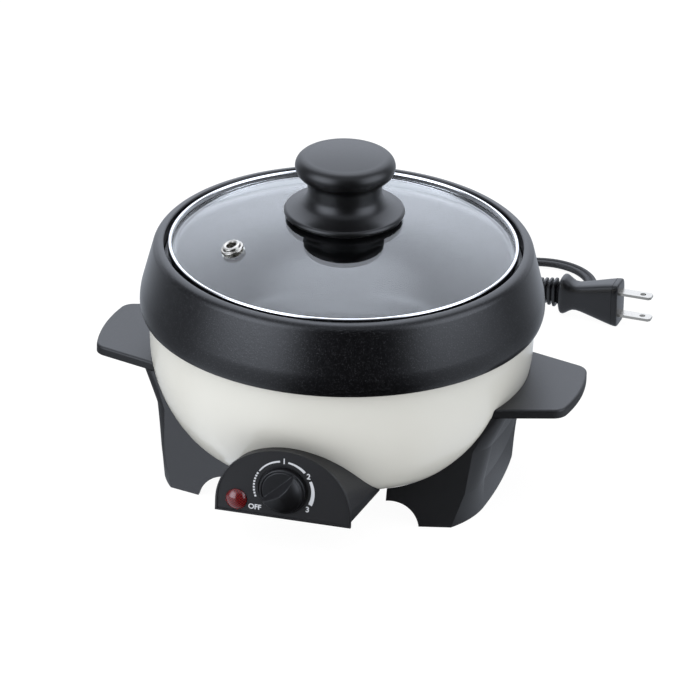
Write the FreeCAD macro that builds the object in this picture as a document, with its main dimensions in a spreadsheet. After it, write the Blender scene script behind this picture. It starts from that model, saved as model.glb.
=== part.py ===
import FreeCAD, Part
import math
import os
import re
import Sketcher

V = FreeCAD.Vector
UP = V(0, 0, 1)
# How far a cutting form is carried past the face it opens, and how near counts as on a face.
PAST = 1.0
NEAR = 0.01

os.makedirs("parts", exist_ok=True)
doc = FreeCAD.newDocument("melting_pot")

# Driving dimensions in millimetres, with angles in degrees.
SIZES = [
    ("axis_back", 7.82, "axis of the pot behind the middle of its outline"),
    ("seat_height", 116.6, "ledge of the pan that carries the lid, above the table"),
    ("lid_radius", 90.0, "outside of the chromed ring"),
    ("ring_height", 8.4, "foot of the ring to the top of its roll"),
    ("ring_sheet", 0.8, "sheet of the ring"),
    ("ring_roll", 1.4, "outer radius of the rolled top"),
    ("ring_foot", 3.5, "width of the foot flange under the glass"),
    ("glass_edge_rise", 5.16, "outer face of the glass at its edge, above the ledge"),
    ("dome_rise", 26.2, "top of the glass above the ledge"),
    ("glass_thickness", 3.8, "tempered glass"),
    ("glass_play", 0.3, "glass to ring, all round"),
    ("glass_seat_gap", 0.05, "glass to the lip of the ring"),
    ("knob_hole", 3.5, "radius of the hole for the knob's screw"),
    ("gasket_thickness", 0.5, "silicone washer under the knob"),
    ("gasket_radius", 27.0, "silicone washer"),
    ("gasket_play", 0.05, "silicone washer to the knob"),
    ("knob_radius", 25.8, "widest part of the cap"),
    ("knob_widest", 25.6, "height of the widest part above the glass"),
    ("knob_height", 32.2, "top of the knob above the glass"),
    ("knob_crown_edge", 20.0, "where the crown meets the rounding"),
    ("knob_crown_rise", 1.5, "rise of the crown"),
    ("knob_round", 5.7, "rounding of the cap"),
    ("knob_cap_curve", 26.0, "swell of the cap's underside"),
    ("knob_cap_foot", 22.1, "radius where the cap starts"),
    ("knob_cap_start", 16.0, "height where the cap starts"),
    ("knob_waist_curve", 30.0, "hollow between the waist and the cap"),
    ("knob_waist", 19.4, "narrowest part"),
    ("knob_waist_height", 8.7, "height of the narrowest part"),
    ("knob_cove", 6.0, "cove between the waist and the skirt"),
    ("knob_skirt_top", 21.5, "radius where the skirt starts"),
    ("knob_skirt_height", 5.2, "height where the skirt starts"),
    ("knob_skirt_curve", 26.0, "hollow of the skirt"),
    ("skirt_radius", 31.3, "widest part of the skirt"),
    ("skirt_widest", 0.2, "height of the skirt's edge"),
    ("skirt_lip", 1.5, "width of the skirt's rounded edge"),
    ("skirt_lip_rise", 1.7, "height of the rounded edge"),
    ("skirt_round", 2.0, "rounding of the skirt's edge"),
    ("knob_bore", 2.05, "radius of the blind hole in the knob"),
    ("knob_bore_depth", 14.0, "blind hole above the glass"),
    ("screw_radius", 2.0, "shank of the knob's screw"),
    ("screw_grip", 12.0, "length of the screw above the glass"),
    ("screw_head_radius", 4.2, "pan head"),
    ("screw_head_height", 2.4, "pan head"),
    ("screw_slot", 1.2, "width of the cross recess"),
    ("screw_slot_depth", 1.3, "depth of the cross recess"),
    ("washer_radius", 8.0, "steel washer under the glass"),
    ("washer_thickness", 1.2, "steel washer under the glass"),
    ("vent_reach", 62.4, "vent from the pot's axis"),
    ("vent_bearing_angle", -139.6, "direction of the vent round the axis"),
    ("vent_hole", 2.5, "bore of the eyelet"),
    ("vent_tube", 3.1, "outside of the eyelet in the glass"),
    ("vent_play", 0.15, "eyelet in the glass"),
    ("vent_flange", 5.95, "flange of the eyelet on the glass"),
    ("vent_flange_height", 1.0, "flange of the eyelet"),
    ("vent_collar", 4.7, "raised ring of the eyelet"),
    ("vent_height", 2.6, "eyelet above the glass"),
    ("vent_seat_gap", 0.12, "flat flanges to the curved glass"),
    ("pan_floor", 50.0, "cooking floor above the table"),
    ("pan_floor_thickness", 5.5, "cast floor"),
    ("pan_wall", 3.0, "cast wall"),
    ("pan_corner", 18.5, "inner radius between the floor and the wall"),
    ("pan_draft", 4.0, "wall of the pan, narrower at the floor than at the ledge"),
    ("ledge_width", 6.0, "outside of the lid to the mouth of the pan"),
    ("pan_mouth_round", 1.5, "rounded edge of the mouth"),
    ("groove_play", 1.7, "lid's ring to the groove's outer wall"),
    ("groove_round", 1.0, "rounded top of the groove's wall"),
    ("brim_rise", 8.0, "brim above the ledge"),
    ("brim_slope", 0.7, "fall of the brim to its outer rounding"),
    ("brim_round", 2.5, "outer rounding of the brim"),
    ("brim_width", 5.8, "groove's wall to the outside of the band under the brim"),
    ("ledge_thickness", 3.4, "casting under the ledge"),
    ("band_wall", 3.0, "casting of the outer band"),
    ("band_flare", 6.3, "widest part of the band beyond its outside under the brim"),
    ("band_widest", 92.6, "height of the widest part"),
    ("band_turn", 99.8, "height where the band turns upright"),
    ("band_turn_draw", 0.85, "band at that height, short of its widest part"),
    ("band_curve", 33.0, "curve from there to the widest part"),
    ("band_bottom", 87.6, "lower edge of the band"),
    ("band_bottom_round", 4.4, "rounding of the lower edge"),
    ("band_foot_draw", 1.5, "rounding's lower end, short of the widest part"),
    ("bead_height", 2.8, "inner bead that rests on the bowl"),
    ("bead_reach", 1.6, "bead over the bowl's top edge"),
    ("shell_gap", 0.7, "band to the bowl"),
    ("band_overhang", 5.3, "widest part of the band beyond the bowl"),
    ("shell_top", 94.0, "top edge of the bowl"),
    ("shell_sheet", 0.8, "sheet of the bowl"),
    ("belly_height", 73.0, "where the bowl starts to curve in"),
    ("belly_curve", 72.0, "upper curve of the bowl"),
    ("bowl_bottom", 15.0, "underside of the bowl"),
    ("bowl_draw", 43.0, "flat bottom, short of the outside of the bowl"),
    ("bowl_opening", 46.0, "opening in the bottom of the bowl"),
    ("plate_radius", 53.5, "bottom plate"),
    ("plate_sheet", 1.2, "bottom plate"),
    ("plate_raise", 2.8, "raised middle of the bottom plate"),
    ("plate_step_radius", 41.0, "raised middle of the bottom plate"),
    ("stud_count", 3, "studs under the pan"),
    ("stud_circle", 28.0, "circle of the studs"),
    ("stud_radius", 2.0, "threaded stud"),
    ("stud_play", 0.1, "studs in their holes"),
    ("stud_tip", 0.5, "stud past its nut"),
    ("nut_width", 7.0, "across the flats of the nuts"),
    ("nut_height", 2.2, "height of the nuts"),
    ("sleeve_wall", 1.6, "spacer sleeves on the studs"),
    ("sleeve_length", 12.0, "pan to reflector"),
    ("reflector_radius", 68.0, "rim of the heat reflector"),
    ("reflector_sheet", 0.6, "heat reflector"),
    ("reflector_rim", 6.0, "upturned rim of the reflector"),
    ("reflector_flare", 6.0, "spread of the reflector's rim"),
    ("element_radius", 50.0, "middle of the heater's ring"),
    ("element_tube", 3.5, "radius of the heater's tube"),
    ("element_gap", 0.1, "heater to the pan"),
    ("element_sweep_angle", 340.0, "angle of the heater's ring"),
    ("pin_radius", 1.6, "cold ends of the heater"),
    ("pin_length", 18.0, "cold ends below the middle of the tube"),
    ("pin_play", 1.4, "cold ends in the reflector"),
    ("fuse_radius", 2.4, "thermal fuse"),
    ("fuse_length", 14.0, "thermal fuse"),
    ("fuse_reach", 12.0, "fuse from the axis"),
    ("block_width", 22.0, "ceramic terminal block"),
    ("block_depth", 12.0, "ceramic terminal block"),
    ("block_height", 10.0, "ceramic terminal block"),
    ("block_reach", 18.0, "near face of the block from the axis"),
    ("block_bore", 1.3, "wire holes of the block"),
    ("wire_radius", 1.2, "insulated inner wires"),
    ("wire_lead", 8.0, "straight wire at a terminal"),
    ("wire_drop", 4.0, "wire straight below the heater's pin"),
    ("wire_sag", 1.0, "wire's bend below the terminal"),
    ("wire_spread", 15.0, "wires aside from the terminal block"),
    ("wire_turn", 6.0, "wire's turn before and at the gland"),
    ("wire_rise", 4.5, "wires above the terminals"),
    ("wire_run", 20.0, "wires past the terminals towards the gland"),
    ("wire_bow", 12.0, "wires aside and short of the gland"),
    ("wire_pair", 2.0, "each wire from the middle of the gland"),
    ("handle_top", 60.1, "top face of the handles"),
    ("handle_thickness", 4.7, "edge of the handles"),
    ("handle_skin", 2.4, "top skin of the hollow handles"),
    ("handle_length", 28.6, "end of the handles beyond the bowl"),
    ("handle_root_inset", 3.5, "where the root half width is measured, inside the bowl's radius"),
    ("handle_half_width", 35.3, "half width at the root"),
    ("handle_taper_angle", 16.0, "each edge narrows by this angle"),
    ("handle_end_curve", 98.0, "radius of the end of the handles"),
    ("handle_corner", 8.0, "corners of the handles"),
    ("handle_edge", 1.3, "rounded upper edge of the handles"),
    ("handle_inner_round", 1.0, "least corner round inside the handle"),
    ("handle_rib", 2.0, "ribs under the handles"),
    ("bowl_gap", 0.15, "leg mouldings and housing to the bowl"),
    ("leg_wall", 2.5, "wall of the leg mouldings"),
    ("foot_front", 59.6, "front wall from the middle plane, at the foot's inner end"),
    ("foot_inner_inset", 40.5, "inner end of the foot, inside the bowl's radius"),
    ("foot_toe_angle", 14.0, "angle of the front wall to the X direction"),
    ("leg_lean_angle", 14.8, "angle of the front wall to the upright"),
    ("leg_inner_inset", 57.5, "inner end of the front wall, inside the bowl's radius"),
    ("arch_inset", 56.0, "arch in the front wall, inside the bowl's radius"),
    ("arch_drop", 3.5, "centre of the arch below the table"),
    ("arch_radius", 16.2, "arch in the front wall"),
    ("ankle_height", 17.0, "where the outer wall starts to flare"),
    ("knee_height", 38.0, "crease of the outer wall"),
    ("foot_inset", 12.5, "outer wall at the table, inside the bowl's radius"),
    ("ankle_inset", 12.1, "outer wall at the ankle, inside the bowl's radius"),
    ("knee_inset", 7.2, "outer wall at the crease, inside the bowl's radius"),
    ("hip_inset", -1.5, "outer wall under the handle, inside the bowl's radius"),
    ("foot_corner_inset", 24.2, "front corner at the table, inside the bowl's radius"),
    ("ankle_corner_inset", 18.9, "front corner at the ankle, inside the bowl's radius"),
    ("knee_corner_inset", 16.9, "front corner at the crease, inside the bowl's radius"),
    ("hip_corner_inset", 8.9, "front corner under the handle, inside the bowl's radius"),
    ("shoulder_half_width", 30.0, "flat middle of the outer wall"),
    ("shoulder_drop", 1.5, "outer wall there, short of its middle, at the foot"),
    ("shoulder_drop_hip", 3.5, "outer wall there, short of its middle, at the hip"),
    ("corner_bulge", 1.8, "bulge between the flat middle and the corner"),
    ("case_screw_radius", 1.5, "screws of the legs and the housing"),
    ("case_screw_head", 3.0, "heads of those screws"),
    ("case_screw_head_height", 2.0, "heads of those screws"),
    ("case_screw_seat", 0.2, "flat heads to the curved sheet"),
    ("case_screw_length", 9.5, "length under the head"),
    ("case_screw_play", 0.05, "screws in their bosses"),
    ("boss_radius", 4.0, "screw bosses"),
    ("boss_length", 9.5, "screw bosses"),
    ("leg_screw_dip_angle", 50.0, "leg screws below the level"),
    ("leg_screw_spread_angle", 17.0, "leg screws each side of the middle"),
    ("housing_screw_dip_angle", 25.0, "housing screws below the level"),
    ("housing_screw_spread_angle", 12.5, "housing screws each side of the middle"),
    ("panel_stand_off", 11.5, "foot of the panel beyond the bowl"),
    ("panel_bottom", 20.2, "foot of the panel above the table"),
    ("panel_lean_angle", 3.0, "panel leans back by this angle"),
    ("panel_half_width", 35.5, "panel"),
    ("panel_straight", 6.2, "upright part of the panel's sides"),
    ("panel_side_curve", 29.2, "radius of the panel's shoulders"),
    ("panel_height", 37.2, "panel"),
    ("panel_lip", 2.2, "thickness of the panel's lip"),
    ("panel_inset", 2.2, "body of the housing inside the lip"),
    ("panel_border", 1.3, "width of the raised border"),
    ("panel_recess", 0.5, "face below the border"),
    ("panel_edge", 0.8, "rounding of the lip"),
    ("housing_wall", 2.2, "wall of the housing"),
    ("housing_face", 3.0, "front wall of the housing"),
    ("housing_depth", 46.0, "housing behind the panel"),
    ("housing_shoulder_angle", 54, "direction where the arc's side meets its top"),
    ("housing_back_half_width", 38.6, "housing at its back"),
    ("housing_back_curve", 42.3, "radius of the housing's back outline"),
    ("housing_back_bottom", 22.3, "housing's underside at its back"),
    ("housing_back_top", 51.0, "top of the housing's back outline"),
    ("dial_height", 36.3, "middle of the dial above the table"),
    ("dial_radius", 12.0, "dial"),
    ("dial_proud", 2.4, "rim of the dial above the panel"),
    ("dial_well", 13.2, "well round the dial"),
    ("dial_well_depth", 1.3, "well round the dial"),
    ("dial_play", 0.4, "dial to the bottom of the well"),
    ("dial_round", 0.8, "rounded rim of the dial"),
    ("dial_rest_angle", 43.0, "turn of the pointer at OFF"),
    ("grip_tip", 12.6, "pointer from the middle of the dial"),
    ("grip_radius", 8.0, "round end of the grip"),
    ("grip_offset", 2.6, "round end from the middle of the dial"),
    ("grip_height", 10.5, "top of the grip above the panel"),
    ("grip_tip_height", 3.6, "pointer's tip above the panel"),
    ("grip_tip_width", 1.6, "width of the pointer's tip"),
    ("grip_draft_angle", 24.0, "slope of the grip's sides"),
    ("shaft_radius", 3.0, "thermostat's shaft"),
    ("shaft_top", 5.5, "end of the shaft above the panel"),
    ("shaft_bottom", 11.0, "inner end of the shaft behind the panel"),
    ("shaft_play", 0.06, "dial on the shaft"),
    ("bearing_play", 0.08, "shaft in the thermostat"),
    ("wall_play", 0.6, "shaft in the housing's wall"),
    ("thermostat_width", 24.0, "thermostat"),
    ("thermostat_height", 18.0, "thermostat"),
    ("thermostat_depth", 10.5, "thermostat"),
    ("lamp_offset", 24.3, "lamp beside the middle"),
    ("lamp_height", 27.8, "middle of the lamp above the table"),
    ("lamp_radius", 5.5, "red lens"),
    ("lamp_play", 0.1, "lens in its hole"),
    ("lamp_dome", 2.6, "lens above the panel"),
    ("neon_radius", 2.4, "neon lamp"),
    ("neon_length", 9.0, "neon lamp"),
    ("gland_dip_angle", 40.0, "gland below the level"),
    ("gland_hole", 5.1, "hole for the gland"),
    ("gland_play", 0.1, "gland in its hole"),
    ("gland_flange", 7.5, "outer flange"),
    ("gland_round", 0.5, "rounded edge of that flange"),
    ("gland_dome", 0.5, "flange narrower at its top"),
    ("gland_flange_height", 2.0, "outer flange"),
    ("gland_tail", 20.0, "tail of the gland outside the bowl"),
    ("gland_tail_root", 5.0, "tail at the flange"),
    ("gland_tail_end", 3.6, "tail at its end"),
    ("gland_inner_flange", 6.2, "inner flange"),
    ("gland_inner_gap", 0.75, "inner flange to the bowl"),
    ("gland_inner_length", 3.0, "inner flange"),
    ("cord_diameter", 4.8, "mains cord"),
    ("coil_radius", 26.0, "middle of the coil's turns"),
    ("coil_x", -24.5, "middle of the coil"),
    ("coil_back", 72.5, "middle of the coil behind the bowl"),
    ("coil_turns", 4, "turns in the put-away coil"),
    ("coil_width", 9.8, "two turns side by side"),
    ("coil_height", 9.8, "two turns on each other"),
    ("coil_lift", 0.2, "coil above the table"),
    ("coil_round", 2.3, "rounded edges of the coil's outer shape"),
    ("plug_aside", 73.1, "cord end of the plug's sleeve, aside from the coil's middle"),
    ("plug_back", 33.6, "cord end of the plug's sleeve, behind the coil's middle"),
    ("plug_height", 11.8, "middle of the plug above the table"),
    ("plug_turn_angle", -3.5, "direction of the plug"),
    ("plug_lead", 15.6, "straight cord before the plug"),
    ("sleeve_end", 19.7, "ribbed sleeve of the plug"),
    ("sleeve_tail_wall", 0.6, "sleeve round the cord at its rear end"),
    ("sleeve_chamfer_share", 0.45, "corners of the sleeve, as a share of its half depth"),
    ("rib_count", 4, "ribs of the sleeve"),
    ("rib_taper_share", 0.08, "each rib smaller than the one before it, as a share"),
    ("rib_pitch", 3.3, "ribs of the sleeve"),
    ("rib_width", 1.7, "ribs of the sleeve"),
    ("rib_half_height", 7.6, "ribs of the sleeve"),
    ("rib_half_depth", 4.6, "ribs of the sleeve"),
    ("rib_core_share", 0.72, "core of the sleeve as a share of its ribs"),
    ("collar_end", 24.6, "end of the plug's collar"),
    ("collar_half_height", 10.4, "collar"),
    ("collar_half_depth", 6.8, "collar"),
    ("waist_end", 28.6, "narrowest part of the plug"),
    ("waist_half_height", 7.0, "waist"),
    ("waist_half_depth", 5.4, "waist"),
    ("plug_end", 52.5, "face of the plug"),
    ("face_half_height", 11.6, "face of the plug"),
    ("face_half_depth", 6.6, "face of the plug"),
    ("plug_chamfer", 2.6, "corners of the plug's sections"),
    ("collar_chamfer", 3.6, "corners of the collar"),
    ("face_length", 7.2, "straight part at the plug's face"),
    ("blade_pitch", 12.7, "plug blades"),
    ("blade_length", 17.5, "plug blades"),
    ("blade_width", 6.3, "plug blades"),
    ("blade_thickness", 1.5, "plug blades"),
    ("blade_hole", 1.6, "radius of the hole in each blade"),
    ("blade_hole_reach", 12.5, "hole from the face"),
    ("blade_tip", 1.2, "cut corners of the blades"),
]

sheet = doc.addObject("Spreadsheet::Sheet", "Sizes")
for row, (alias, value, meaning) in enumerate(SIZES, 1):
    sheet.set(f"A{row}", meaning)
    sheet.set(f"B{row}", str(value))
    sheet.setAlias(f"B{row}", alias)
doc.recompute()

NAMES = {alias for alias, value, meaning in SIZES}
NODES = []

# Measures that follow from the sizes: the lid sets the pan, the pan sets the bowl, the bowl sets the rest.
MEASURES = {
    "dome_fall": "(dome_rise - glass_edge_rise)",
    "dome_radius": "(((lid_radius - ring_sheet - glass_play)^2 + dome_fall^2)/(2*dome_fall))",
    "pan_mouth_radius": "(lid_radius - ledge_width)",
    "pan_foot_radius": "(pan_mouth_radius - pan_draft)",
    "brim_radius": "(lid_radius + groove_play + brim_width)",
    "band_radius": "(brim_radius + band_flare)",
    "band_turn_radius": "(band_radius - band_turn_draw)",
    "band_foot_radius": "(band_radius - band_foot_draw)",
    "shell_radius": "(band_radius - band_overhang)",
    "bowl_foot_radius": "(shell_radius - bowl_draw)",
    "handle_reach": "(shell_radius + handle_length)",
    "handle_root": "(shell_radius - handle_root_inset)",
    "foot_inner": "(shell_radius - foot_inner_inset)",
    "leg_inner": "(shell_radius - leg_inner_inset)",
    "arch_centre": "(shell_radius - arch_inset)",
    "foot_reach": "(shell_radius - foot_inset)",
    "ankle_reach": "(shell_radius - ankle_inset)",
    "knee_reach": "(shell_radius - knee_inset)",
    "hip_reach": "(shell_radius - hip_inset)",
    "foot_corner": "(shell_radius - foot_corner_inset)",
    "ankle_corner": "(shell_radius - ankle_corner_inset)",
    "knee_corner": "(shell_radius - knee_corner_inset)",
    "hip_corner": "(shell_radius - hip_corner_inset)",
    "panel_reach": "(shell_radius + panel_stand_off)",
    "coil_y": "(shell_radius + coil_back)",
    "plug_x": "(coil_x + plug_aside)",
    "plug_y": "(coil_y + plug_back)",
}


def spelled(formula):
    """A formula with each measure written out in sizes."""
    words = str(formula)
    while True:
        longer = re.sub(r"[a-z][a-z_]+", lambda word: MEASURES.get(word[0], word[0]), words)
        if longer == words:
            return words
        words = longer


def size(formula):
    """The value of a formula of sizes and measures."""
    return float(sheet.evalExpression(spelled(formula)))


def bound(formula):
    """The same formula with each size read from the sheet."""
    return re.sub(r"[a-z][a-z_]+", lambda word: f"Sizes.{word[0]}" if word[0] in NAMES else word[0],
                  spelled(formula))


def keep(piece, label):
    """Make a document object a piece of the product."""
    piece.Label = label
    NODES.append(piece)
    return piece


def origin_plane(body, role):
    return next(item for item in body.Origin.OriginFeatures if item.Role == role)


def add_outline(sketch, corners):
    """A closed outline. A corner is (x, y) or (x, y, curve), all formulas. The curve is the radius of the
    arc to the next corner: positive bulges to the right of the way, outward when counter-clockwise."""
    where = [(size(corner[0]), size(corner[1])) for corner in corners]
    first = sketch.GeometryCount
    starts, ends = [], []
    for index, corner in enumerate(corners):
        p = V(*where[index], 0)
        q = V(*where[(index + 1) % len(corners)], 0)
        number = first + index
        if len(corner) == 2:
            sketch.addGeometry(Part.LineSegment(p, q), False)
            starts.append((number, 1))
            ends.append((number, 2))
            continue
        curve = size(corner[2])
        radius = abs(curve)
        left = V(p.y - q.y, q.x - p.x, 0).normalize() * math.copysign(1, curve)
        half = p.distanceToPoint(q) / 2
        centre = (p + q) / 2 + left * math.sqrt(max(radius ** 2 - half ** 2, 0))
        near, far = (p, q) if curve > 0 else (q, p)
        begin = math.atan2(near.y - centre.y, near.x - centre.x)
        finish = math.atan2(far.y - centre.y, far.x - centre.x)
        arc = Part.ArcOfCircle(Part.Circle(centre, UP, radius), begin, finish)
        sketch.addGeometry(arc, False)
        starts.append((number, 1 if curve > 0 else 2))
        ends.append((number, 2 if curve > 0 else 1))
        bind(sketch, ("Radius", number, radius), f"abs({corner[2]})")
    for index, corner in enumerate(corners):
        sketch.addConstraint(Sketcher.Constraint("Coincident", *ends[index - 1], *starts[index]))
        for kind, axis, formula, value in (("DistanceX", -2, corner[0], where[index][0]),
                                           ("DistanceY", -1, corner[1], where[index][1])):
            if str(formula) == "0":
                sketch.addConstraint(Sketcher.Constraint("PointOnObject", *starts[index], axis))
            else:
                bind(sketch, (kind, -1, 1, *starts[index], value), formula)


def bind(sketch, constraint, formula):
    """A dimension of a sketch, driven by a formula of sizes."""
    number = sketch.addConstraint(Sketcher.Constraint(*constraint))
    sketch.setExpression(f"Constraints[{number}]", bound(formula))


def add_circle(sketch, x, y, radius):
    """A round hole's outline, its middle and radius given as formulas."""
    number = sketch.addGeometry(Part.Circle(V(size(x), size(y), 0), UP, size(radius)), False)
    bind(sketch, ("Radius", number, size(radius)), radius)
    for kind, axis, formula in (("DistanceX", -2, x), ("DistanceY", -1, y)):
        if formula == "0":
            sketch.addConstraint(Sketcher.Constraint("PointOnObject", number, 3, axis))
        else:
            bind(sketch, (kind, -1, 1, number, 3, size(formula)), formula)


def new_sketch(body, name, role):
    sketch = body.newObject("Sketcher::SketchObject", name)
    sketch.AttachmentSupport = (origin_plane(body, role), [""])
    sketch.MapMode = "FlatFace"
    return sketch


def turned(name, corners, height="0"):
    """A piece turned about its upright axis from corners of (radius, height)."""
    body = doc.addObject("PartDesign::Body", name)
    sketch = new_sketch(body, name + "_profile", "XZ_Plane")
    add_outline(sketch, corners)
    turn = body.newObject("PartDesign::Revolution", name + "_turn")
    turn.Profile = sketch
    turn.ReferenceAxis = (sketch, ["V_Axis"])
    turn.Angle = 360
    if height != "0":
        body.setExpression("Placement.Base.z", bound(height))
    doc.recompute()
    return body


def holes_through(body, name, circles, count="1"):
    """Holes right through a body along its axis, repeated evenly round it."""
    sketch = new_sketch(body, name, "XY_Plane")
    for circle in circles:
        add_circle(sketch, *circle)
    cut = body.newObject("PartDesign::Pocket", name + "_cut")
    cut.Profile = sketch
    cut.Type = "ThroughAll"
    cut.Midplane = True
    doc.recompute()
    if size(count) > 1:
        pattern = body.newObject("PartDesign::PolarPattern", name + "_pattern")
        pattern.Originals = [cut]
        pattern.Axis = (sketch, ["N_Axis"])
        pattern.Angle = 360
        pattern.setExpression("Occurrences", bound(count))
        body.Tip = pattern
        doc.recompute()


def cut_by(base, tools, name):
    """A base object less its tools."""
    for number, tool in enumerate(tools):
        cut = doc.addObject("Part::Cut", f"{name}_cut_{number}")
        cut.Base = base
        cut.Tool = tool
        base = cut
    doc.recompute()
    return base


def rod(name, radius, length, placement):
    """A cylinder bound to the sheet, standing along its own axis."""
    cylinder = doc.addObject("Part::Cylinder", name)
    cylinder.setExpression("Radius", bound(radius))
    cylinder.setExpression("Height", bound(length))
    cylinder.Placement = placement
    return cylinder


def solid_piece(shape, label, placement=None):
    """A piece whose form is computed from the sizes."""
    piece = doc.addObject("Part::Feature", label)
    piece.Shape = shape
    if placement is not None:
        piece.Placement = placement
    return keep(piece, label)


def along(direction):
    """The rotation that lays the Z axis along a direction."""
    return FreeCAD.Rotation(UP, direction)


# The lid: heights are counted from the ledge that carries it.
DOME_CENTRE = "(dome_rise - dome_radius)"
GLASS_EDGE = "(lid_radius - ring_sheet - glass_play)"
LIP_RADIUS = "(lid_radius - 2*ring_roll)"
ROLL_HEIGHT = "(ring_height - ring_roll)"


def dome(radius, offset="0"):
    """Height of a sphere parallel to the glass at a radius from the axis."""
    return f"({DOME_CENTRE} + sqrt((dome_radius + {offset})^2 - ({radius})^2))"


def vent_axis():
    """Direction of the vent from the middle of the glass's sphere."""
    tilt = math.asin(size("vent_reach/dome_radius"))
    bearing = math.radians(size("vent_bearing_angle"))
    return V(math.sin(tilt) * math.cos(bearing), math.sin(tilt) * math.sin(bearing), math.cos(tilt))


def lid():
    blank = turned("glass_blank", [
        ("knob_hole", dome("knob_hole", "-glass_thickness"), "glass_thickness - dome_radius"),
        (GLASS_EDGE, dome(GLASS_EDGE, "-glass_thickness")),
        (GLASS_EDGE, dome(GLASS_EDGE), "dome_radius"),
        ("knob_hole", dome("knob_hole")),
    ], "seat_height")
    centre = V(0, 0, size(f"seat_height + {DOME_CENTRE}"))
    axis = vent_axis()
    start = centre + axis * size("dome_radius - 2*glass_thickness")
    bore = rod("vent_bore", "vent_tube + vent_play", "3*glass_thickness",
               FreeCAD.Placement(start, along(axis)))
    keep(cut_by(blank, [bore], "glass"), "lid_glass")

    keep(turned("ring", [
        ("lid_radius - ring_foot", "0"),
        ("lid_radius", "0"),
        ("lid_radius", ROLL_HEIGHT, "ring_roll"),
        ("lid_radius - ring_roll", "ring_height", "ring_roll"),
        (LIP_RADIUS, ROLL_HEIGHT),
        (LIP_RADIUS, f"{dome(LIP_RADIUS)} + glass_seat_gap"),
        (f"{LIP_RADIUS} + ring_sheet", f"{dome(LIP_RADIUS + ' + ring_sheet')} + glass_seat_gap"),
        (f"{LIP_RADIUS} + ring_sheet", ROLL_HEIGHT, "ring_sheet - ring_roll"),
        ("lid_radius - ring_roll", "ring_height - ring_sheet", "ring_sheet - ring_roll"),
        ("lid_radius - ring_sheet", ROLL_HEIGHT),
        ("lid_radius - ring_sheet", "ring_sheet"),
        ("lid_radius - ring_foot", "ring_sheet"),
    ], "seat_height"), "lid_rim")

    keep(turned("gasket", [
        ("knob_hole", dome("knob_hole"), "-dome_radius"),
        ("gasket_radius", dome("gasket_radius")),
        ("gasket_radius", dome("gasket_radius", "gasket_thickness"), "dome_radius + gasket_thickness"),
        ("knob_hole", dome("knob_hole", "gasket_thickness")),
    ], "seat_height"), "knob_gasket")

    under = "(skirt_radius - skirt_lip)"
    above = "(gasket_thickness + gasket_play)"
    keep(turned("knob", [
        ("0", "dome_rise + knob_bore_depth"),
        ("knob_bore", "dome_rise + knob_bore_depth"),
        ("knob_bore", dome("knob_bore", above), f"-dome_radius - {above}"),
        (under, dome(under, above), "skirt_round"),
        ("skirt_radius", "dome_rise + skirt_widest", "skirt_round"),
        ("skirt_radius - skirt_lip", "dome_rise + skirt_widest + skirt_lip_rise", "-knob_skirt_curve"),
        ("knob_skirt_top", "dome_rise + knob_skirt_height", "-knob_cove"),
        ("knob_waist", "dome_rise + knob_waist_height", "-knob_waist_curve"),
        ("knob_cap_foot", "dome_rise + knob_cap_start", "knob_cap_curve"),
        ("knob_radius", "dome_rise + knob_widest", "knob_round"),
        ("knob_crown_edge", "dome_rise + knob_height - knob_crown_rise",
         "(knob_crown_edge^2 + knob_crown_rise^2)/(2*knob_crown_rise)"),
        ("0", "dome_rise + knob_height"),
    ], "seat_height"), "lid_knob")

    seat = dome("washer_radius", "-glass_thickness")
    keep(turned("washer", [
        ("screw_radius + stud_play", f"{seat} - washer_thickness"),
        ("washer_radius", f"{seat} - washer_thickness"),
        ("washer_radius", seat),
        ("screw_radius + stud_play", seat),
    ], "seat_height"), "knob_washer")

    head = f"({seat} - washer_thickness)"
    screw = turned("screw", [
        ("0", f"{head} - screw_head_height"),
        ("0.6*screw_head_radius", f"{head} - screw_head_height", "1.6*screw_head_radius"),
        ("screw_head_radius", head),
        ("screw_radius", head),
        ("screw_radius", "dome_rise + screw_grip"),
        ("0", "dome_rise + screw_grip"),
    ], "seat_height")
    bottom = size(f"seat_height + {head} - screw_head_height")
    slots = []
    for turn in (0, 90):
        slot = doc.addObject("Part::Box", f"cross_recess_{turn}")
        slot.setExpression("Length", bound("1.1*screw_head_radius"))
        slot.setExpression("Width", bound("screw_slot"))
        slot.setExpression("Height", bound("2*screw_slot_depth"))
        corner = V(-size("0.55*screw_head_radius"), -size("screw_slot/2"), -size("screw_slot_depth"))
        middle = FreeCAD.Placement(V(0, 0, bottom), FreeCAD.Rotation(UP, turn))
        slot.Placement = middle.multiply(FreeCAD.Placement(corner, FreeCAD.Rotation()))
        slots.append(slot)
    keep(cut_by(screw, slots, "screw"), "knob_screw")

    top = "(dome_radius + vent_seat_gap)"
    low = "(dome_radius - glass_thickness - vent_seat_gap)"
    eyelet = turned("eyelet", [
        ("vent_hole", f"{low} - vent_flange_height"),
        ("vent_flange", f"{low} - vent_flange_height"),
        ("vent_flange", low),
        ("vent_tube", low),
        ("vent_tube", top),
        ("vent_flange", top),
        ("vent_flange", f"{top} + 0.4*vent_flange_height", "0.6*vent_flange_height"),
        ("vent_flange - 0.6*vent_flange_height", f"{top} + vent_flange_height"),
        ("vent_collar", f"{top} + vent_flange_height"),
        ("vent_collar", f"{top} + 0.8*vent_height", "0.2*vent_height"),
        ("vent_collar - 0.2*vent_height", f"{top} + vent_height"),
        ("vent_hole", f"{top} + vent_height"),
    ])
    eyelet.Placement = FreeCAD.Placement(centre, along(axis))
    keep(eyelet, "vent_eyelet")


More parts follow.
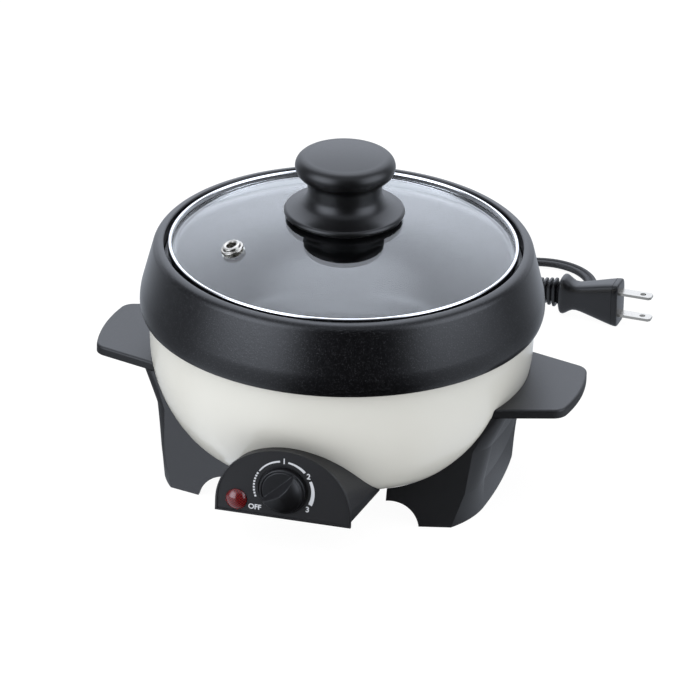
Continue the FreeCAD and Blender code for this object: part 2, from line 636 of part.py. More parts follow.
# The pan: one casting with the cooking bowl, the lid's groove and the outer band.
FLOOR_BOTTOM = "(pan_floor - pan_floor_thickness)"
GROOVE = "(lid_radius + groove_play)"
BRIM = "(seat_height + brim_rise)"
ROOF = "(seat_height - ledge_thickness)"
BRIM_FOOT = f"({BRIM} - brim_slope - brim_round)"


def pan():
    corner = "(pan_corner + pan_wall)"
    skirt = "(shell_radius + shell_gap)"
    bead = "(shell_radius - bead_reach)"
    slope = f"((band_turn_radius - brim_radius)/({BRIM_FOOT} - band_turn))"
    keep(turned("pan", [
        ("0", FLOOR_BOTTOM),
        ("pan_foot_radius - pan_corner", FLOOR_BOTTOM, corner),
        ("pan_foot_radius + pan_wall", f"{FLOOR_BOTTOM} + {corner}"),
        ("pan_mouth_radius + pan_wall", ROOF),
        (f"brim_radius + {slope}*({BRIM_FOOT} - {ROOF}) - band_wall", ROOF),
        ("band_turn_radius - band_wall", "band_turn"),
        (bead, "shell_top + bead_height"),
        (bead, "shell_top"),
        (skirt, "shell_top"),
        (skirt, "band_bottom + 0.5*band_wall"),
        (f"{skirt} + 0.2*band_wall", "band_bottom"),
        ("band_foot_radius", "band_bottom", "band_bottom_round"),
        ("band_radius", "band_widest", "band_curve"),
        ("band_turn_radius", "band_turn"),
        ("brim_radius", BRIM_FOOT, "brim_round"),
        ("brim_radius - brim_round", f"{BRIM} - brim_slope"),
        (f"{GROOVE} + groove_round", BRIM, "groove_round"),
        (GROOVE, f"{BRIM} - groove_round"),
        (GROOVE, "seat_height"),
        ("pan_mouth_radius + pan_mouth_round", "seat_height", "pan_mouth_round"),
        ("pan_mouth_radius", "seat_height - pan_mouth_round"),
        ("pan_foot_radius", "pan_floor + pan_corner", "-pan_corner"),
        ("pan_foot_radius - pan_corner", "pan_floor"),
        ("0", "pan_floor"),
    ]), "pan")


# The painted bowl: an upper curve, then a tighter lower one that ends level.
DROP = "(belly_height - bowl_bottom)"
DRAW = "(shell_radius - bowl_foot_radius)"
LOW_CURVE = f"((({DROP})^2 + (belly_curve - {DRAW})^2 - belly_curve^2)/(2*({DROP} - belly_curve)))"
UPPER_CENTRE = "(shell_radius - belly_curve)"
TURN_RADIAL = f"((belly_curve - {DRAW})/(belly_curve - {LOW_CURVE}))"
TURN_DOWN = f"(({DROP} - {LOW_CURVE})/(belly_curve - {LOW_CURVE}))"


def bowl_turn(inset="0"):
    """Where the two curves meet, on a surface inset from the outside."""
    reach = f"(belly_curve - {inset})"
    return f"({UPPER_CENTRE} + {reach}*{TURN_RADIAL})", f"(belly_height - {reach}*{TURN_DOWN})"


def bowl_point(bearing, dip, offset=0.0):
    """Point and outward normal of the bowl where its surface faces below the level by an angle."""
    fall = math.radians(dip)
    if math.sin(fall) > size(TURN_DOWN):
        curve, centre_radius = size(LOW_CURVE), size("bowl_foot_radius")
        centre_height = size(f"bowl_bottom + {LOW_CURVE}")
    else:
        curve, centre_radius = size("belly_curve"), size(UPPER_CENTRE)
        centre_height = size("belly_height")
    turn = math.radians(bearing)
    outward = V(math.cos(turn), math.sin(turn), 0)
    normal = outward * math.cos(fall) - UP * math.sin(fall)
    point = outward * centre_radius + UP * centre_height + normal * (curve + offset)
    return point, normal


def grown_bowl(offset):
    """The space of the bowl grown by an offset, to cut what stands round it."""
    wide = size("shell_radius") + offset
    belly = size("belly_height")
    lower_radius, upper_radius = size(LOW_CURVE) + offset, size("belly_curve") + offset
    turn_r, turn_z = size(TURN_RADIAL), size(TURN_DOWN)
    foot, bottom = size("bowl_foot_radius"), size("bowl_bottom")
    low_centre = V(foot, 0, bottom + size(LOW_CURVE))
    high_centre = V(size(UPPER_CENTRE), 0, belly)
    meet = high_centre + V(turn_r, 0, -turn_z) * upper_radius
    low_middle = low_centre + V(turn_r, 0, -turn_z - 1).normalize() * lower_radius
    high_middle = high_centre + V(turn_r + 1, 0, -turn_z).normalize() * upper_radius
    top = size("shell_top + band_wall")
    edges = [
        Part.LineSegment(V(0, 0, top), V(0, 0, bottom - offset)),
        Part.LineSegment(V(0, 0, bottom - offset), V(foot, 0, bottom - offset)),
        Part.Arc(V(foot, 0, bottom - offset), low_middle, meet),
        Part.Arc(meet, high_middle, V(wide, 0, belly)),
        Part.LineSegment(V(wide, 0, belly), V(wide, 0, top)),
        Part.LineSegment(V(wide, 0, top), V(0, 0, top)),
    ]
    face = Part.Face(Part.Wire([edge.toShape() for edge in edges]))
    return face.revolve(V(0, 0, 0), UP, 360)


def case_screw_places(side_bearing, dip, spread):
    """Points and normals of a pair of screws through the bowl."""
    return [bowl_point(side_bearing + turn, size(dip)) for turn in (-size(spread), size(spread))]


LEG_SCREWS = {
    "right": case_screw_places(0, "leg_screw_dip_angle", "leg_screw_spread_angle"),
    "left": case_screw_places(180, "leg_screw_dip_angle", "leg_screw_spread_angle"),
}
HOUSING_SCREWS = case_screw_places(-90, "housing_screw_dip_angle", "housing_screw_spread_angle")


def bowl():
    outer_r, outer_z = bowl_turn()
    inner_r, inner_z = bowl_turn("shell_sheet")
    blank = turned("shell", [
        ("bowl_opening", "bowl_bottom"),
        ("bowl_foot_radius", "bowl_bottom", LOW_CURVE),
        (outer_r, outer_z, "belly_curve"),
        ("shell_radius", "belly_height"),
        ("shell_radius", "shell_top"),
        ("shell_radius - shell_sheet", "shell_top"),
        ("shell_radius - shell_sheet", "belly_height", "shell_sheet - belly_curve"),
        (inner_r, inner_z, f"shell_sheet - {LOW_CURVE}"),
        ("bowl_foot_radius", "bowl_bottom + shell_sheet"),
        ("bowl_opening", "bowl_bottom + shell_sheet"),
    ])
    drills = []
    screws = LEG_SCREWS["right"] + LEG_SCREWS["left"] + HOUSING_SCREWS
    for number, (point, normal) in enumerate(screws):
        start = point - normal * size("3*shell_sheet")
        drills.append(rod(f"screw_hole_{number}", "case_screw_radius + case_screw_play", "6*shell_sheet",
                          FreeCAD.Placement(start, along(normal))))
    for name, bearing, dip, radius in (("gland_opening", 90, "gland_dip_angle", "gland_hole"),
                                       ("wire_opening", -90, "gland_dip_angle", "gland_hole")):
        point, normal = bowl_point(bearing, size(dip))
        start = point - normal * size("4*shell_sheet")
        drills.append(rod(name, radius, "8*shell_sheet", FreeCAD.Placement(start, along(normal))))
    keep(cut_by(blank, drills, "shell"), "bowl_shell")


# What hangs under the pan: studs, sleeves, heater, reflector and bottom plate.
PLATE_TOP = "(bowl_bottom + plate_raise)"
REFLECTOR = f"({FLOOR_BOTTOM} - sleeve_length - reflector_sheet)"


def stud_turns():
    count = int(size("stud_count"))
    return [360 * number / count for number in range(count)]


def around(shape, turns):
    """Copies of a shape turned about the pot's axis, as one group of solids."""
    copies = []
    for turn in turns:
        copy = shape.copy()
        copy.rotate(V(0, 0, 0), UP, turn)
        copies.append(copy)
    return Part.Compound(copies)


def hexagon_nut(bottom):
    corner = size("nut_width/sqrt(3)")
    reach = size("stud_circle")
    turns = [math.radians(60 * k) for k in range(6)]
    points = [V(reach + corner * math.cos(turn), corner * math.sin(turn), bottom) for turn in turns]
    block = Part.Face(Part.makePolygon(points + points[:1])).extrude(UP * size("nut_height"))
    bore = Part.makeCylinder(size("stud_radius + stud_play"), size("nut_height"), V(reach, 0, bottom))
    return block.cut(bore)


def underside():
    stud_bottom = size(f"{PLATE_TOP} - plate_sheet - nut_height - stud_tip")
    reach = V(size("stud_circle"), 0, 0)
    floor = size(FLOOR_BOTTOM)
    stud = Part.makeCylinder(size("stud_radius"), floor - stud_bottom, reach + UP * stud_bottom)
    solid_piece(around(stud, stud_turns()), "pan_studs")
    outer = size("stud_radius + stud_play + sleeve_wall")
    sleeve = Part.makeCylinder(outer, size("sleeve_length"), reach + UP * (floor - size("sleeve_length")))
    bore = Part.makeCylinder(size("stud_radius + stud_play"), size("sleeve_length"),
                             reach + UP * (floor - size("sleeve_length")))
    solid_piece(around(sleeve.cut(bore), stud_turns()), "spacer_sleeves")
    nuts = [around(hexagon_nut(size(bottom)), stud_turns()) for bottom in (
        f"{REFLECTOR} - nut_height", f"{PLATE_TOP} - plate_sheet - nut_height")]
    solid_piece(Part.Compound([solid for group in nuts for solid in group.Solids]), "stud_nuts")

    inner = "(reflector_radius - reflector_flare)"
    dish = turned("reflector", [
        ("0", REFLECTOR),
        (inner, REFLECTOR),
        ("reflector_radius", f"{REFLECTOR} + reflector_rim"),
        ("reflector_radius - reflector_sheet", f"{REFLECTOR} + reflector_rim"),
        (f"{inner} - 0.4*reflector_sheet", f"{REFLECTOR} + reflector_sheet"),
        ("0", f"{REFLECTOR} + reflector_sheet"),
    ])
    holes = [("stud_circle", "0", "stud_radius + stud_play")]
    holes_through(dish, "reflector_stud_holes", holes, "stud_count")
    pin_x = size("element_radius") * math.cos(math.radians(pin_bearing()))
    pin_y = size("element_radius") * math.sin(math.radians(pin_bearing()))
    clearances = [rod(f"pin_clearance_{side}", "pin_radius + pin_play", "10*reflector_sheet",
                      FreeCAD.Placement(V(side * pin_x, pin_y, size(f"{REFLECTOR} - 5*reflector_sheet")),
                                        FreeCAD.Rotation())) for side in (-1, 1)]
    keep(cut_by(dish, clearances, "reflector"), "heat_reflector")

    plate = turned("plate", [
        ("0", f"{PLATE_TOP} - plate_sheet"),
        ("plate_step_radius - plate_sheet", f"{PLATE_TOP} - plate_sheet"),
        ("plate_step_radius", "bowl_bottom - plate_sheet"),
        ("plate_radius", "bowl_bottom - plate_sheet"),
        ("plate_radius", "bowl_bottom"),
        ("plate_step_radius + plate_sheet", "bowl_bottom"),
        ("plate_step_radius", PLATE_TOP),
        ("0", PLATE_TOP),
    ])
    holes_through(plate, "plate_stud_holes", [("stud_circle", "0", "stud_radius + stud_play")], "stud_count")
    keep(plate, "bottom_plate")


def pin_bearing():
    """Direction of the heater's right cold end, beside the gap that faces the back."""
    return 90 - (360 - size("element_sweep_angle")) / 2


def heater():
    height = f"({FLOOR_BOTTOM} - element_tube - element_gap)"
    ring = doc.addObject("Part::Torus", "heater_ring")
    ring.setExpression("Radius1", bound("element_radius"))
    ring.setExpression("Radius2", bound("element_tube"))
    ring.setExpression("Angle3", bound("element_sweep_angle"))
    ring.setExpression("Placement.Base.z", bound(height))
    ring.Placement.Rotation = FreeCAD.Rotation(UP, 180 - pin_bearing())
    element = ring
    for side in (-1, 1):
        turn = math.radians(pin_bearing())
        place = V(side * size("element_radius") * math.cos(turn), size("element_radius") * math.sin(turn),
                  size(f"{height} - pin_length"))
        upright = FreeCAD.Placement(place, FreeCAD.Rotation())
        pin = rod(f"heater_pin_{side}", "pin_radius", "pin_length", upright)
        joined = doc.addObject("Part::Fuse", f"heater_with_pin_{side}")
        joined.Base = element
        joined.Tool = pin
        element = joined
    doc.recompute()
    keep(element, "heating_element")

    fuse = rod("fuse", "fuse_radius", "fuse_length", FreeCAD.Placement(
        V(-size("fuse_length/2"), -size("fuse_reach"), size(f"{FLOOR_BOTTOM} - fuse_radius - element_gap")),
        along(V(1, 0, 0))))
    keep(fuse, "thermal_fuse")

    block = doc.addObject("Part::Box", "ceramic")
    block.setExpression("Length", bound("block_width"))
    block.setExpression("Width", bound("block_depth"))
    block.setExpression("Height", bound("block_height"))
    block.Placement.Base = V(-size("block_width/2"), size("block_reach"), size(PLATE_TOP))
    bores = [rod(f"wire_hole_{side}", "block_bore", "block_depth", FreeCAD.Placement(
        V(side * size("block_width/4"), size("block_reach"), size(f"{PLATE_TOP} + block_height/2")),
        along(V(0, 1, 0)))) for side in (-1, 1)]
    keep(cut_by(block, bores, "ceramic"), "terminal_block")


# Leg mouldings: a hollow foot with a handle plate on top, one for each side.

def front_wall(x, height):
    """Distance of the leaning front wall from the middle plane."""
    toe = math.tan(math.radians(size("foot_toe_angle")))
    lean = math.tan(math.radians(size("leg_lean_angle")))
    return size("foot_front") - (x - size("foot_inner")) * toe - height * lean


def leg_section(height, reach, corner, drop, inset, inner):
    """Level outline of a leg: straight front and rear walls and a gently curved outer wall."""
    shoulder = V(reach - drop - inset, size("shoulder_half_width"), height)
    corner_x = corner - inset
    corner_y = front_wall(corner_x, height) - inset
    edge = V(corner_x, corner_y, height)
    chord = edge - shoulder
    bulge = V(-chord.y, chord.x, 0).normalize() * -size("corner_bulge")
    between = shoulder + chord * 0.5 + bulge
    root = V(inner, front_wall(inner, height) - inset, height)
    middle = V(reach - inset, 0, height)

    def mirrored(point):
        return V(point.x, -point.y, point.z)

    return Part.Wire([edge_of.toShape() for edge_of in (
        Part.LineSegment(mirrored(root), mirrored(edge)),
        Part.Arc(mirrored(edge), mirrored(between), mirrored(shoulder)),
        Part.Arc(mirrored(shoulder), middle, shoulder),
        Part.Arc(shoulder, between, edge),
        Part.LineSegment(edge, root),
        Part.LineSegment(root, mirrored(root)),
    )])


def leg_form(inset, inner, past):
    """Solid between the leg's level outlines, carried past the table and the handle."""
    hip = size("handle_top - handle_thickness")
    levels = [
        (-past, "foot_reach", "foot_corner", "shoulder_drop"),
        (size("ankle_height"), "ankle_reach", "ankle_corner", "shoulder_drop"),
        (size("knee_height"), "knee_reach", "knee_corner", "(shoulder_drop + shoulder_drop_hip)/2"),
        (hip + past, "hip_reach", "hip_corner", "shoulder_drop_hip"),
    ]
    return Part.makeLoft([leg_section(height, size(reach), size(corner), size(drop), inset, inner)
                          for height, reach, corner, drop in levels], True, True)


def handle_outline(inset, height):
    """Plan of a handle plate, from inside the bowl to its curved end."""
    taper = math.tan(math.radians(size("handle_taper_angle")))
    root = size("handle_root")
    half = size("handle_half_width") - inset / math.cos(math.radians(size("handle_taper_angle")))
    reach = size("handle_reach") - inset
    curve = size("handle_end_curve")
    inner = size("pan_foot_radius")

    def edge(x):
        return half - (x - root) * taper

    end_y = edge(reach)
    end_x = reach - curve + math.sqrt(curve ** 2 - end_y ** 2)
    corners = [V(inner, -edge(inner), height), V(end_x, -end_y, height), V(end_x, end_y, height),
               V(inner, edge(inner), height)]
    sides = [Part.LineSegment(corners[0], corners[1]),
             Part.Arc(corners[1], V(reach, 0, height), corners[2]),
             Part.LineSegment(corners[2], corners[3]),
             Part.LineSegment(corners[3], corners[0])]
    return Part.Wire([side.toShape() for side in sides])


def handle_plate(inset, bottom, top):
    plate = Part.Face(handle_outline(inset, bottom)).extrude(UP * (top - bottom))
    limit = size("handle_reach - handle_corner") - inset
    upright = [edge for edge in plate.Edges
               if abs(edge.tangentAt(edge.FirstParameter).z) > 0.9 and edge.CenterOfMass.x > limit - 2 * inset]
    return plate.makeFillet(max(size("handle_corner") - inset, size("handle_inner_round")), upright)


def leg_moulding(screws):
    wall = size("leg_wall")
    top = size("handle_top")
    hip = size("handle_top - handle_thickness")
    inner = size("leg_inner")
    outer_form = leg_form(0.0, inner, 0.0)
    hollow = leg_form(wall, inner - wall, PAST)
    plate = handle_plate(0.0, hip, top)
    rim = [edge for edge in plate.Edges
           if edge.BoundBox.ZMin > top - NEAR and edge.CenterOfMass.x > size("pan_foot_radius") + PAST]
    plate = plate.makeFillet(size("handle_edge"), rim)
    pocket = handle_plate(wall, hip - PAST, size("handle_top - handle_skin"))
    ribs = Part.makeBox(size("handle_reach"), size("handle_rib"), top - hip, V(0, -size("handle_rib/2"), hip))
    pocket = pocket.cut(ribs)
    moulding = outer_form.cut(hollow).fuse(plate.cut(pocket))
    arch = Part.makeCylinder(size("arch_radius"), 4 * size("foot_front"),
                             V(size("arch_centre"), -2 * size("foot_front"), -size("arch_drop")), V(0, 1, 0))
    bosses = []
    drills = []
    for point, normal in screws:
        bosses.append(Part.makeCylinder(size("boss_radius"), size("boss_length + leg_wall"), point, normal))
        drills.append(Part.makeCylinder(size("case_screw_radius + case_screw_play"),
                                        size("case_screw_length + case_screw_play"), point, normal))
    bosses = Part.Compound(bosses).common(outer_form)
    moulding = moulding.fuse(bosses).cut(arch).cut(Part.Compound(drills))
    moulding = moulding.cut(grown_bowl(size("bowl_gap")))
    return max(moulding.Solids, key=lambda solid: solid.Volume)


def legs():
    right = leg_moulding(LEG_SCREWS["right"]).removeSplitter()
    solid_piece(right, "right_leg_handle")
    solid_piece(right.mirror(V(0, 0, 0), V(1, 0, 0)), "left_leg_handle")


def case_screw(point, normal):
    """A screw from inside the bowl, its head against the sheet."""
    inside = point - normal * size("shell_sheet + case_screw_seat + case_screw_head_height")
    head = Part.makeCylinder(size("case_screw_head"), size("case_screw_head_height"), inside, normal)
    slot = Part.makeBox(size("2*case_screw_head"), size("case_screw_head/3"), size("case_screw_head_height"),
                        V(-size("case_screw_head"), -size("case_screw_head/6"),
                          -size("case_screw_head_height/2")))
    slot.Placement = FreeCAD.Placement(inside, along(normal))
    slot.translate(normal * -size("case_screw_head_height/2"))
    neck = size("shell_sheet + case_screw_seat")
    shank = Part.makeCylinder(size("case_screw_radius"), size("case_screw_length - case_screw_play") + neck,
                              point - normal * neck, normal)
    return head.cut(slot).fuse(shank)


# The control housing and what it carries, in the panel's own directions:
# X to the right, Y up the face, Z out of the face.
PANEL = FreeCAD.Placement(V(0, -size("panel_reach"), size("panel_bottom")),
                          FreeCAD.Rotation(V(1, 0, 0), 90 - size("panel_lean_angle")))
LEAN = math.radians(size("panel_lean_angle"))
DIAL_UP = (size("dial_height") - size("panel_bottom")) / math.cos(LEAN)
LAMP_UP = (size("lamp_height") - size("panel_bottom")) / math.cos(LEAN)


def on_panel(x, up, out=0.0, turn=0.0):
    return PANEL.multiply(FreeCAD.Placement(V(x, up, out), FreeCAD.Rotation(UP, turn)))


def panel_outline(inset, out):
    """The panel's outline: upright sides, round shoulders and a flatter top, all tangent."""
    side = size("panel_side_curve")
    centre_x = size("panel_half_width") - side
    straight = size("panel_straight")
    rise = straight - size("panel_height")
    top_curve = (side ** 2 - centre_x ** 2 - rise ** 2) / (2 * (rise + side))
    top_centre = size("panel_height") - top_curve
    way = V(centre_x, straight - top_centre, 0).normalize()
    halfway = (way + V(1, 0, 0)).normalize()
    side_centre = V(centre_x, straight, out)

    def mirrored(point):
        return V(-point.x, point.y, point.z)

    foot = V(size("panel_half_width") - inset, 0, out)
    hip = V(size("panel_half_width") - inset, straight, out)
    middle = side_centre + halfway * (side - inset)
    shoulder = side_centre + way * (side - inset)
    top = V(0, size("panel_height") - inset, out)
    return Part.Wire([edge.toShape() for edge in (
        Part.LineSegment(mirrored(foot), foot),
        Part.LineSegment(foot, hip),
        Part.Arc(hip, middle, shoulder),
        Part.Arc(shoulder, top, mirrored(shoulder)),
        Part.Arc(mirrored(shoulder), mirrored(middle), mirrored(hip)),
        Part.LineSegment(mirrored(hip), mirrored(foot)),
    )])


def housing_back(inset, rise, out):
    """The outline of the housing inside the bowl: a wide, low arc."""
    curve = size("housing_back_curve") - inset
    bottom = size("housing_back_bottom - panel_bottom") + rise
    centre = size("housing_back_top - panel_bottom - housing_back_curve")
    half = size("housing_back_half_width") - inset

    def on_arc(angle):
        return V(curve * math.cos(angle), centre + curve * math.sin(angle), out)

    low = math.acos(half / curve)
    high = math.radians(size("housing_shoulder_angle"))

    def mirrored(point):
        return V(-point.x, point.y, point.z)

    foot = V(half, bottom, out)
    hip = on_arc(low)
    if hip.y < bottom + PAST:
        hip = V(half, bottom + PAST, out)
    middle, shoulder, top = on_arc((low + high) / 2), on_arc(high), on_arc(math.pi / 2)
    return Part.Wire([edge.toShape() for edge in (
        Part.LineSegment(mirrored(foot), foot),
        Part.LineSegment(foot, hip),
        Part.Arc(hip, middle, shoulder),
        Part.Arc(shoulder, top, mirrored(shoulder)),
        Part.Arc(mirrored(shoulder), mirrored(middle), mirrored(hip)),
        Part.LineSegment(mirrored(hip), mirrored(foot)),
    )])


def housing():
    lip = Part.Face(panel_outline(0.0, -size("panel_lip"))).extrude(UP * size("panel_lip"))
    front = [edge for edge in lip.Edges if edge.BoundBox.ZMin > -NEAR]
    lip = lip.makeFillet(size("panel_edge"), front)
    recess = Part.Face(panel_outline(size("panel_border"), -size("panel_recess"))).extrude(UP * PAST)
    recess.translate(V(0, size("panel_border"), 0))
    depth = size("housing_depth")
    body = Part.makeLoft([panel_outline(size("panel_inset"), -size("panel_lip")),
                          housing_back(0.0, 0.0, -depth)], True, True)
    wall = size("housing_wall")
    front_hollow = panel_outline(size("panel_inset + housing_wall"), -size("housing_face"))
    front_hollow.translate(V(0, wall, 0))
    hollow = Part.makeLoft([front_hollow, housing_back(wall, wall, -depth - PAST)], True, True)
    case = lip.fuse(body).cut(hollow).cut(recess)
    sunk = size("dial_well_depth")
    well = Part.makeCylinder(size("dial_well"), sunk, V(0, DIAL_UP, -sunk))
    through = size("housing_face") + 2 * PAST
    behind = -size("housing_face") - PAST
    shaft_hole = Part.makeCylinder(size("shaft_radius + wall_play"), through, V(0, DIAL_UP, behind))
    lamp_hole = Part.makeCylinder(size("lamp_radius + lamp_play"), through,
                                  V(-size("lamp_offset"), LAMP_UP, behind))
    case = case.cut(well).cut(shaft_hole).cut(lamp_hole)
    case.Placement = PANEL
    envelope = body.copy()
    envelope.Placement = PANEL
    bosses, drills = [], []
    for point, normal in HOUSING_SCREWS:
        bosses.append(Part.makeCylinder(size("boss_radius"), size("boss_length + case_screw_length"),
                                        point, normal))
        drills.append(Part.makeCylinder(size("case_screw_radius + case_screw_play"),
                                        size("case_screw_length + case_screw_play"), point, normal))
    case = case.fuse(Part.Compound(bosses).common(envelope)).cut(Part.Compound(drills))
    case = case.cut(grown_bowl(size("bowl_gap")))
    case = max(case.Solids, key=lambda solid: solid.Volume)
    solid_piece(case.removeSplitter(), "control_housing")


def dial():
    bottom = "(dial_play - dial_well_depth)"
    knob = turned("dial", [
        ("shaft_radius + shaft_play", bottom),
        ("dial_radius", bottom),
        ("dial_radius", "dial_proud - dial_round", "dial_round"),
        ("dial_radius - dial_round", "dial_proud"),
        ("shaft_radius + shaft_play", "dial_proud"),
    ])
    grip = new_sketch(knob, "grip_plan", "XY_Plane")
    tip_half = "grip_tip_width/2"
    add_outline(grip, [
        ("-grip_tip", f"-{tip_half}"),
        ("grip_offset", "-grip_radius", "grip_radius"),
        ("grip_offset + grip_radius", "0", "grip_radius"),
        ("grip_offset", "grip_radius"),
        ("-grip_tip", tip_half),
    ])
    rise = knob.newObject("PartDesign::Pad", "grip_rise")
    rise.Profile = grip
    rise.setExpression("Length", bound("grip_height"))
    rise.setExpression("TaperAngle", bound("-grip_draft_angle"))
    doc.recompute()
    slope = new_sketch(knob, "grip_slope", "XZ_Plane")
    beyond = "(2*grip_tip)"
    fall = "((grip_height - grip_tip_height)/(grip_tip + grip_offset))"
    add_outline(slope, [
        (f"-{beyond}", f"grip_tip_height - {fall}*(2*grip_tip - grip_tip)"),
        ("grip_offset", "grip_height"),
        ("grip_offset", "2*grip_height"),
        (f"-{beyond}", "2*grip_height"),
    ])
    trim = knob.newObject("PartDesign::Pocket", "grip_trim")
    trim.Profile = slope
    trim.Type = "ThroughAll"
    trim.Midplane = True
    doc.recompute()
    bore = new_sketch(knob, "shaft_socket_plan", "XY_Plane")
    add_circle(bore, "0", "0", "shaft_radius + shaft_play")
    socket = knob.newObject("PartDesign::Pocket", "shaft_socket")
    socket.Profile = bore
    socket.setExpression("Length", bound("shaft_top + shaft_play"))
    socket.Reversed = True
    doc.recompute()
    knob.Placement = on_panel(0, DIAL_UP, 0, size("dial_rest_angle"))
    keep(knob, "dial_knob")

    shaft = rod("shaft", "shaft_radius", "shaft_top + shaft_bottom",
                on_panel(0, DIAL_UP, -size("shaft_bottom"), size("dial_rest_angle")))
    keep(shaft, "thermostat_shaft")

    box = doc.addObject("Part::Box", "thermostat")
    box.setExpression("Length", bound("thermostat_width"))
    box.setExpression("Width", bound("thermostat_height"))
    box.setExpression("Height", bound("thermostat_depth"))
    box.Placement = on_panel(-size("thermostat_width/2"), DIAL_UP - size("thermostat_height/2"),
                             -size("housing_face + thermostat_depth"))
    bearing = rod("bearing", "shaft_radius + bearing_play", "shaft_bottom",
                  on_panel(0, DIAL_UP, -size("shaft_bottom + bearing_play")))
    keep(cut_by(box, [bearing], "thermostat"), "thermostat_body")

    lens = turned("lens", [
        ("0", "-housing_face"),
        ("lamp_radius", "-housing_face"),
        ("lamp_radius", "0", "(lamp_radius^2 + lamp_dome^2)/(2*lamp_dome)"),
        ("0", "lamp_dome"),
    ])
    lens.Placement = on_panel(-size("lamp_offset"), LAMP_UP)
    keep(lens, "indicator_lens")
    neon = rod("neon", "neon_radius", "neon_length",
               on_panel(-size("lamp_offset"), LAMP_UP,
                        -size("housing_face + neon_length")))
    keep(neon, "neon_lamp")


# The mains lead: gland, cord, coil and plug.
GLAND_POINT, GLAND_AXIS = bowl_point(90, size("gland_dip_angle"))


def gland():
    inner = "(shell_sheet + gland_inner_gap)"
    body = turned("gland", [
        ("0", f"-{inner} - gland_inner_length"),
        ("0.8*gland_inner_flange", f"-{inner} - gland_inner_length"),
        ("gland_inner_flange", f"-{inner}"),
        ("gland_hole - gland_play", f"-{inner}"),
        ("gland_hole - gland_play", "gland_play"),
        ("gland_flange", "gland_play"),
        ("gland_flange", "gland_flange_height - gland_play", "gland_round"),
        ("gland_flange - gland_dome", "gland_flange_height"),
        ("gland_tail_root", "gland_flange_height"),
        ("gland_tail_end", "gland_tail"),
        ("0", "gland_tail"),
    ])
    body.Placement = FreeCAD.Placement(GLAND_POINT, along(GLAND_AXIS))
    keep(body, "cord_gland")


def rounded_path(points, share=0.45):
    """Straight runs joined by tangent arcs, each as large as its two runs allow."""
    edges = []
    radii = []
    start = points[0]
    for before, corner, after in zip(points, points[1:], points[2:]):
        way_in = (corner - before).normalize()
        way_out = (after - corner).normalize()
        half_turn = way_in.getAngle(way_out) / 2
        cut = share * min(corner.distanceToPoint(before), corner.distanceToPoint(after))
        radius = cut / math.tan(half_turn)
        radii.append(radius)
        first = corner - way_in * cut
        last = corner + way_out * cut
        inward = (way_out - way_in).normalize()
        centre = corner + inward * (radius / math.cos(half_turn))
        middle = centre - inward * radius
        edges.append(Part.LineSegment(start, first).toShape())
        edges.append(Part.Arc(first, middle, last).toShape())
        start = last
    edges.append(Part.LineSegment(start, points[-1]).toShape())
    return Part.Wire(edges), radii


def tube(points, radius):
    """A round cord along a route, with its arcs' radii and its length."""
    path, radii = rounded_path(points)
    start = points[0]
    way = (points[1] - points[0]).normalize()
    profile = Part.Wire(Part.makeCircle(radius, start, way))
    solid = path.makePipeShell([profile], True, False)
    expected = math.pi * radius ** 2 * path.Length
    print(f"cord: length {path.Length:.1f}, radii {[round(r, 1) for r in radii]}, "
          f"volume {solid.Volume:.0f} of {expected:.0f}")
    return solid, path.Length


def lead():
    cord_radius = size("cord_diameter/2")
    coil_middle = V(size("coil_x"), size("coil_y"), size("coil_lift"))
    half_width = size("coil_width/2")
    blank = Part.makeCylinder(size("coil_radius") + half_width, size("coil_height"), coil_middle)
    hole = Part.makeCylinder(size("coil_radius") - half_width, size("coil_height"), coil_middle)
    coil = blank.cut(hole)
    rims = [edge for edge in coil.Edges if edge.Curve.TypeId == "Part::GeomCircle"]
    coil = coil.makeFillet(size("coil_round"), rims)
    solid_piece(coil, "cord_coil")

    tail = GLAND_POINT + GLAND_AXIS * size("gland_tail")
    low = size("cord_diameter/2 + coil_lift")
    to_table = (tail.z - low) / -GLAND_AXIS.z
    touch = tail + GLAND_AXIS * to_table
    entry = V(coil_middle.x + size("coil_radius + coil_width/4"), coil_middle.y, low)
    from_gland = [tail, touch]
    for forward, aside in ((0.4, 0.25), (0.78, 0.9), (1.0, 1.0)):
        from_gland.append(V(touch.x + (entry.x - touch.x) * aside,
                            touch.y + (entry.y - touch.y) * forward, low))
    first, first_length = tube(from_gland, cord_radius)

    turn = math.radians(size("plug_turn_angle"))
    plug_way = V(math.cos(turn), math.sin(turn), 0)
    plug_start = V(size("plug_x"), size("plug_y"), size("plug_height"))
    # Points of the loop from the coil's middle and, where they are above the table's level, their rise.
    loop = (
        (28.5, 1.0, 4.8),
        (29.1, 19.0, 3.8),
        (36.5, 32.5, 1.6),
        (51.5, 39.4, 0.0),
        (67.5, 40.8, 0.0),
        (84.5, 41.6, 0.0),
        (97.5, 46.5, 0.0),
        (104.3, 57.5, 0.0),
        (103.0, 70.0, 0.0),
        (93.5, 79.3, 0.0),
        (80.0, 83.3, 0.0),
        (66.0, 81.5, 0.3),
        (53.5, 75.5, 1.6),
        (45.5, 65.5, 3.4),
        (42.7, 53.0, 5.8),
        (47.3, 41.2, 8.2),
    )
    to_plug = [V(coil_middle.x + aside, coil_middle.y + back, low + rise) for aside, back, rise in loop]
    to_plug += [plug_start - plug_way * size("plug_lead"), plug_start]
    second, second_length = tube(to_plug, cord_radius)
    solid_piece(Part.Compound([first, second]), "power_cord")
    wound = size("coil_turns*2*pi*coil_radius")
    print(f"cord from gland to plug: {first_length + second_length + wound:.0f}")


PLUG = FreeCAD.Placement(V(size("plug_x"), size("plug_y"), size("plug_height")),
                         FreeCAD.Rotation(UP, size("plug_turn_angle")))


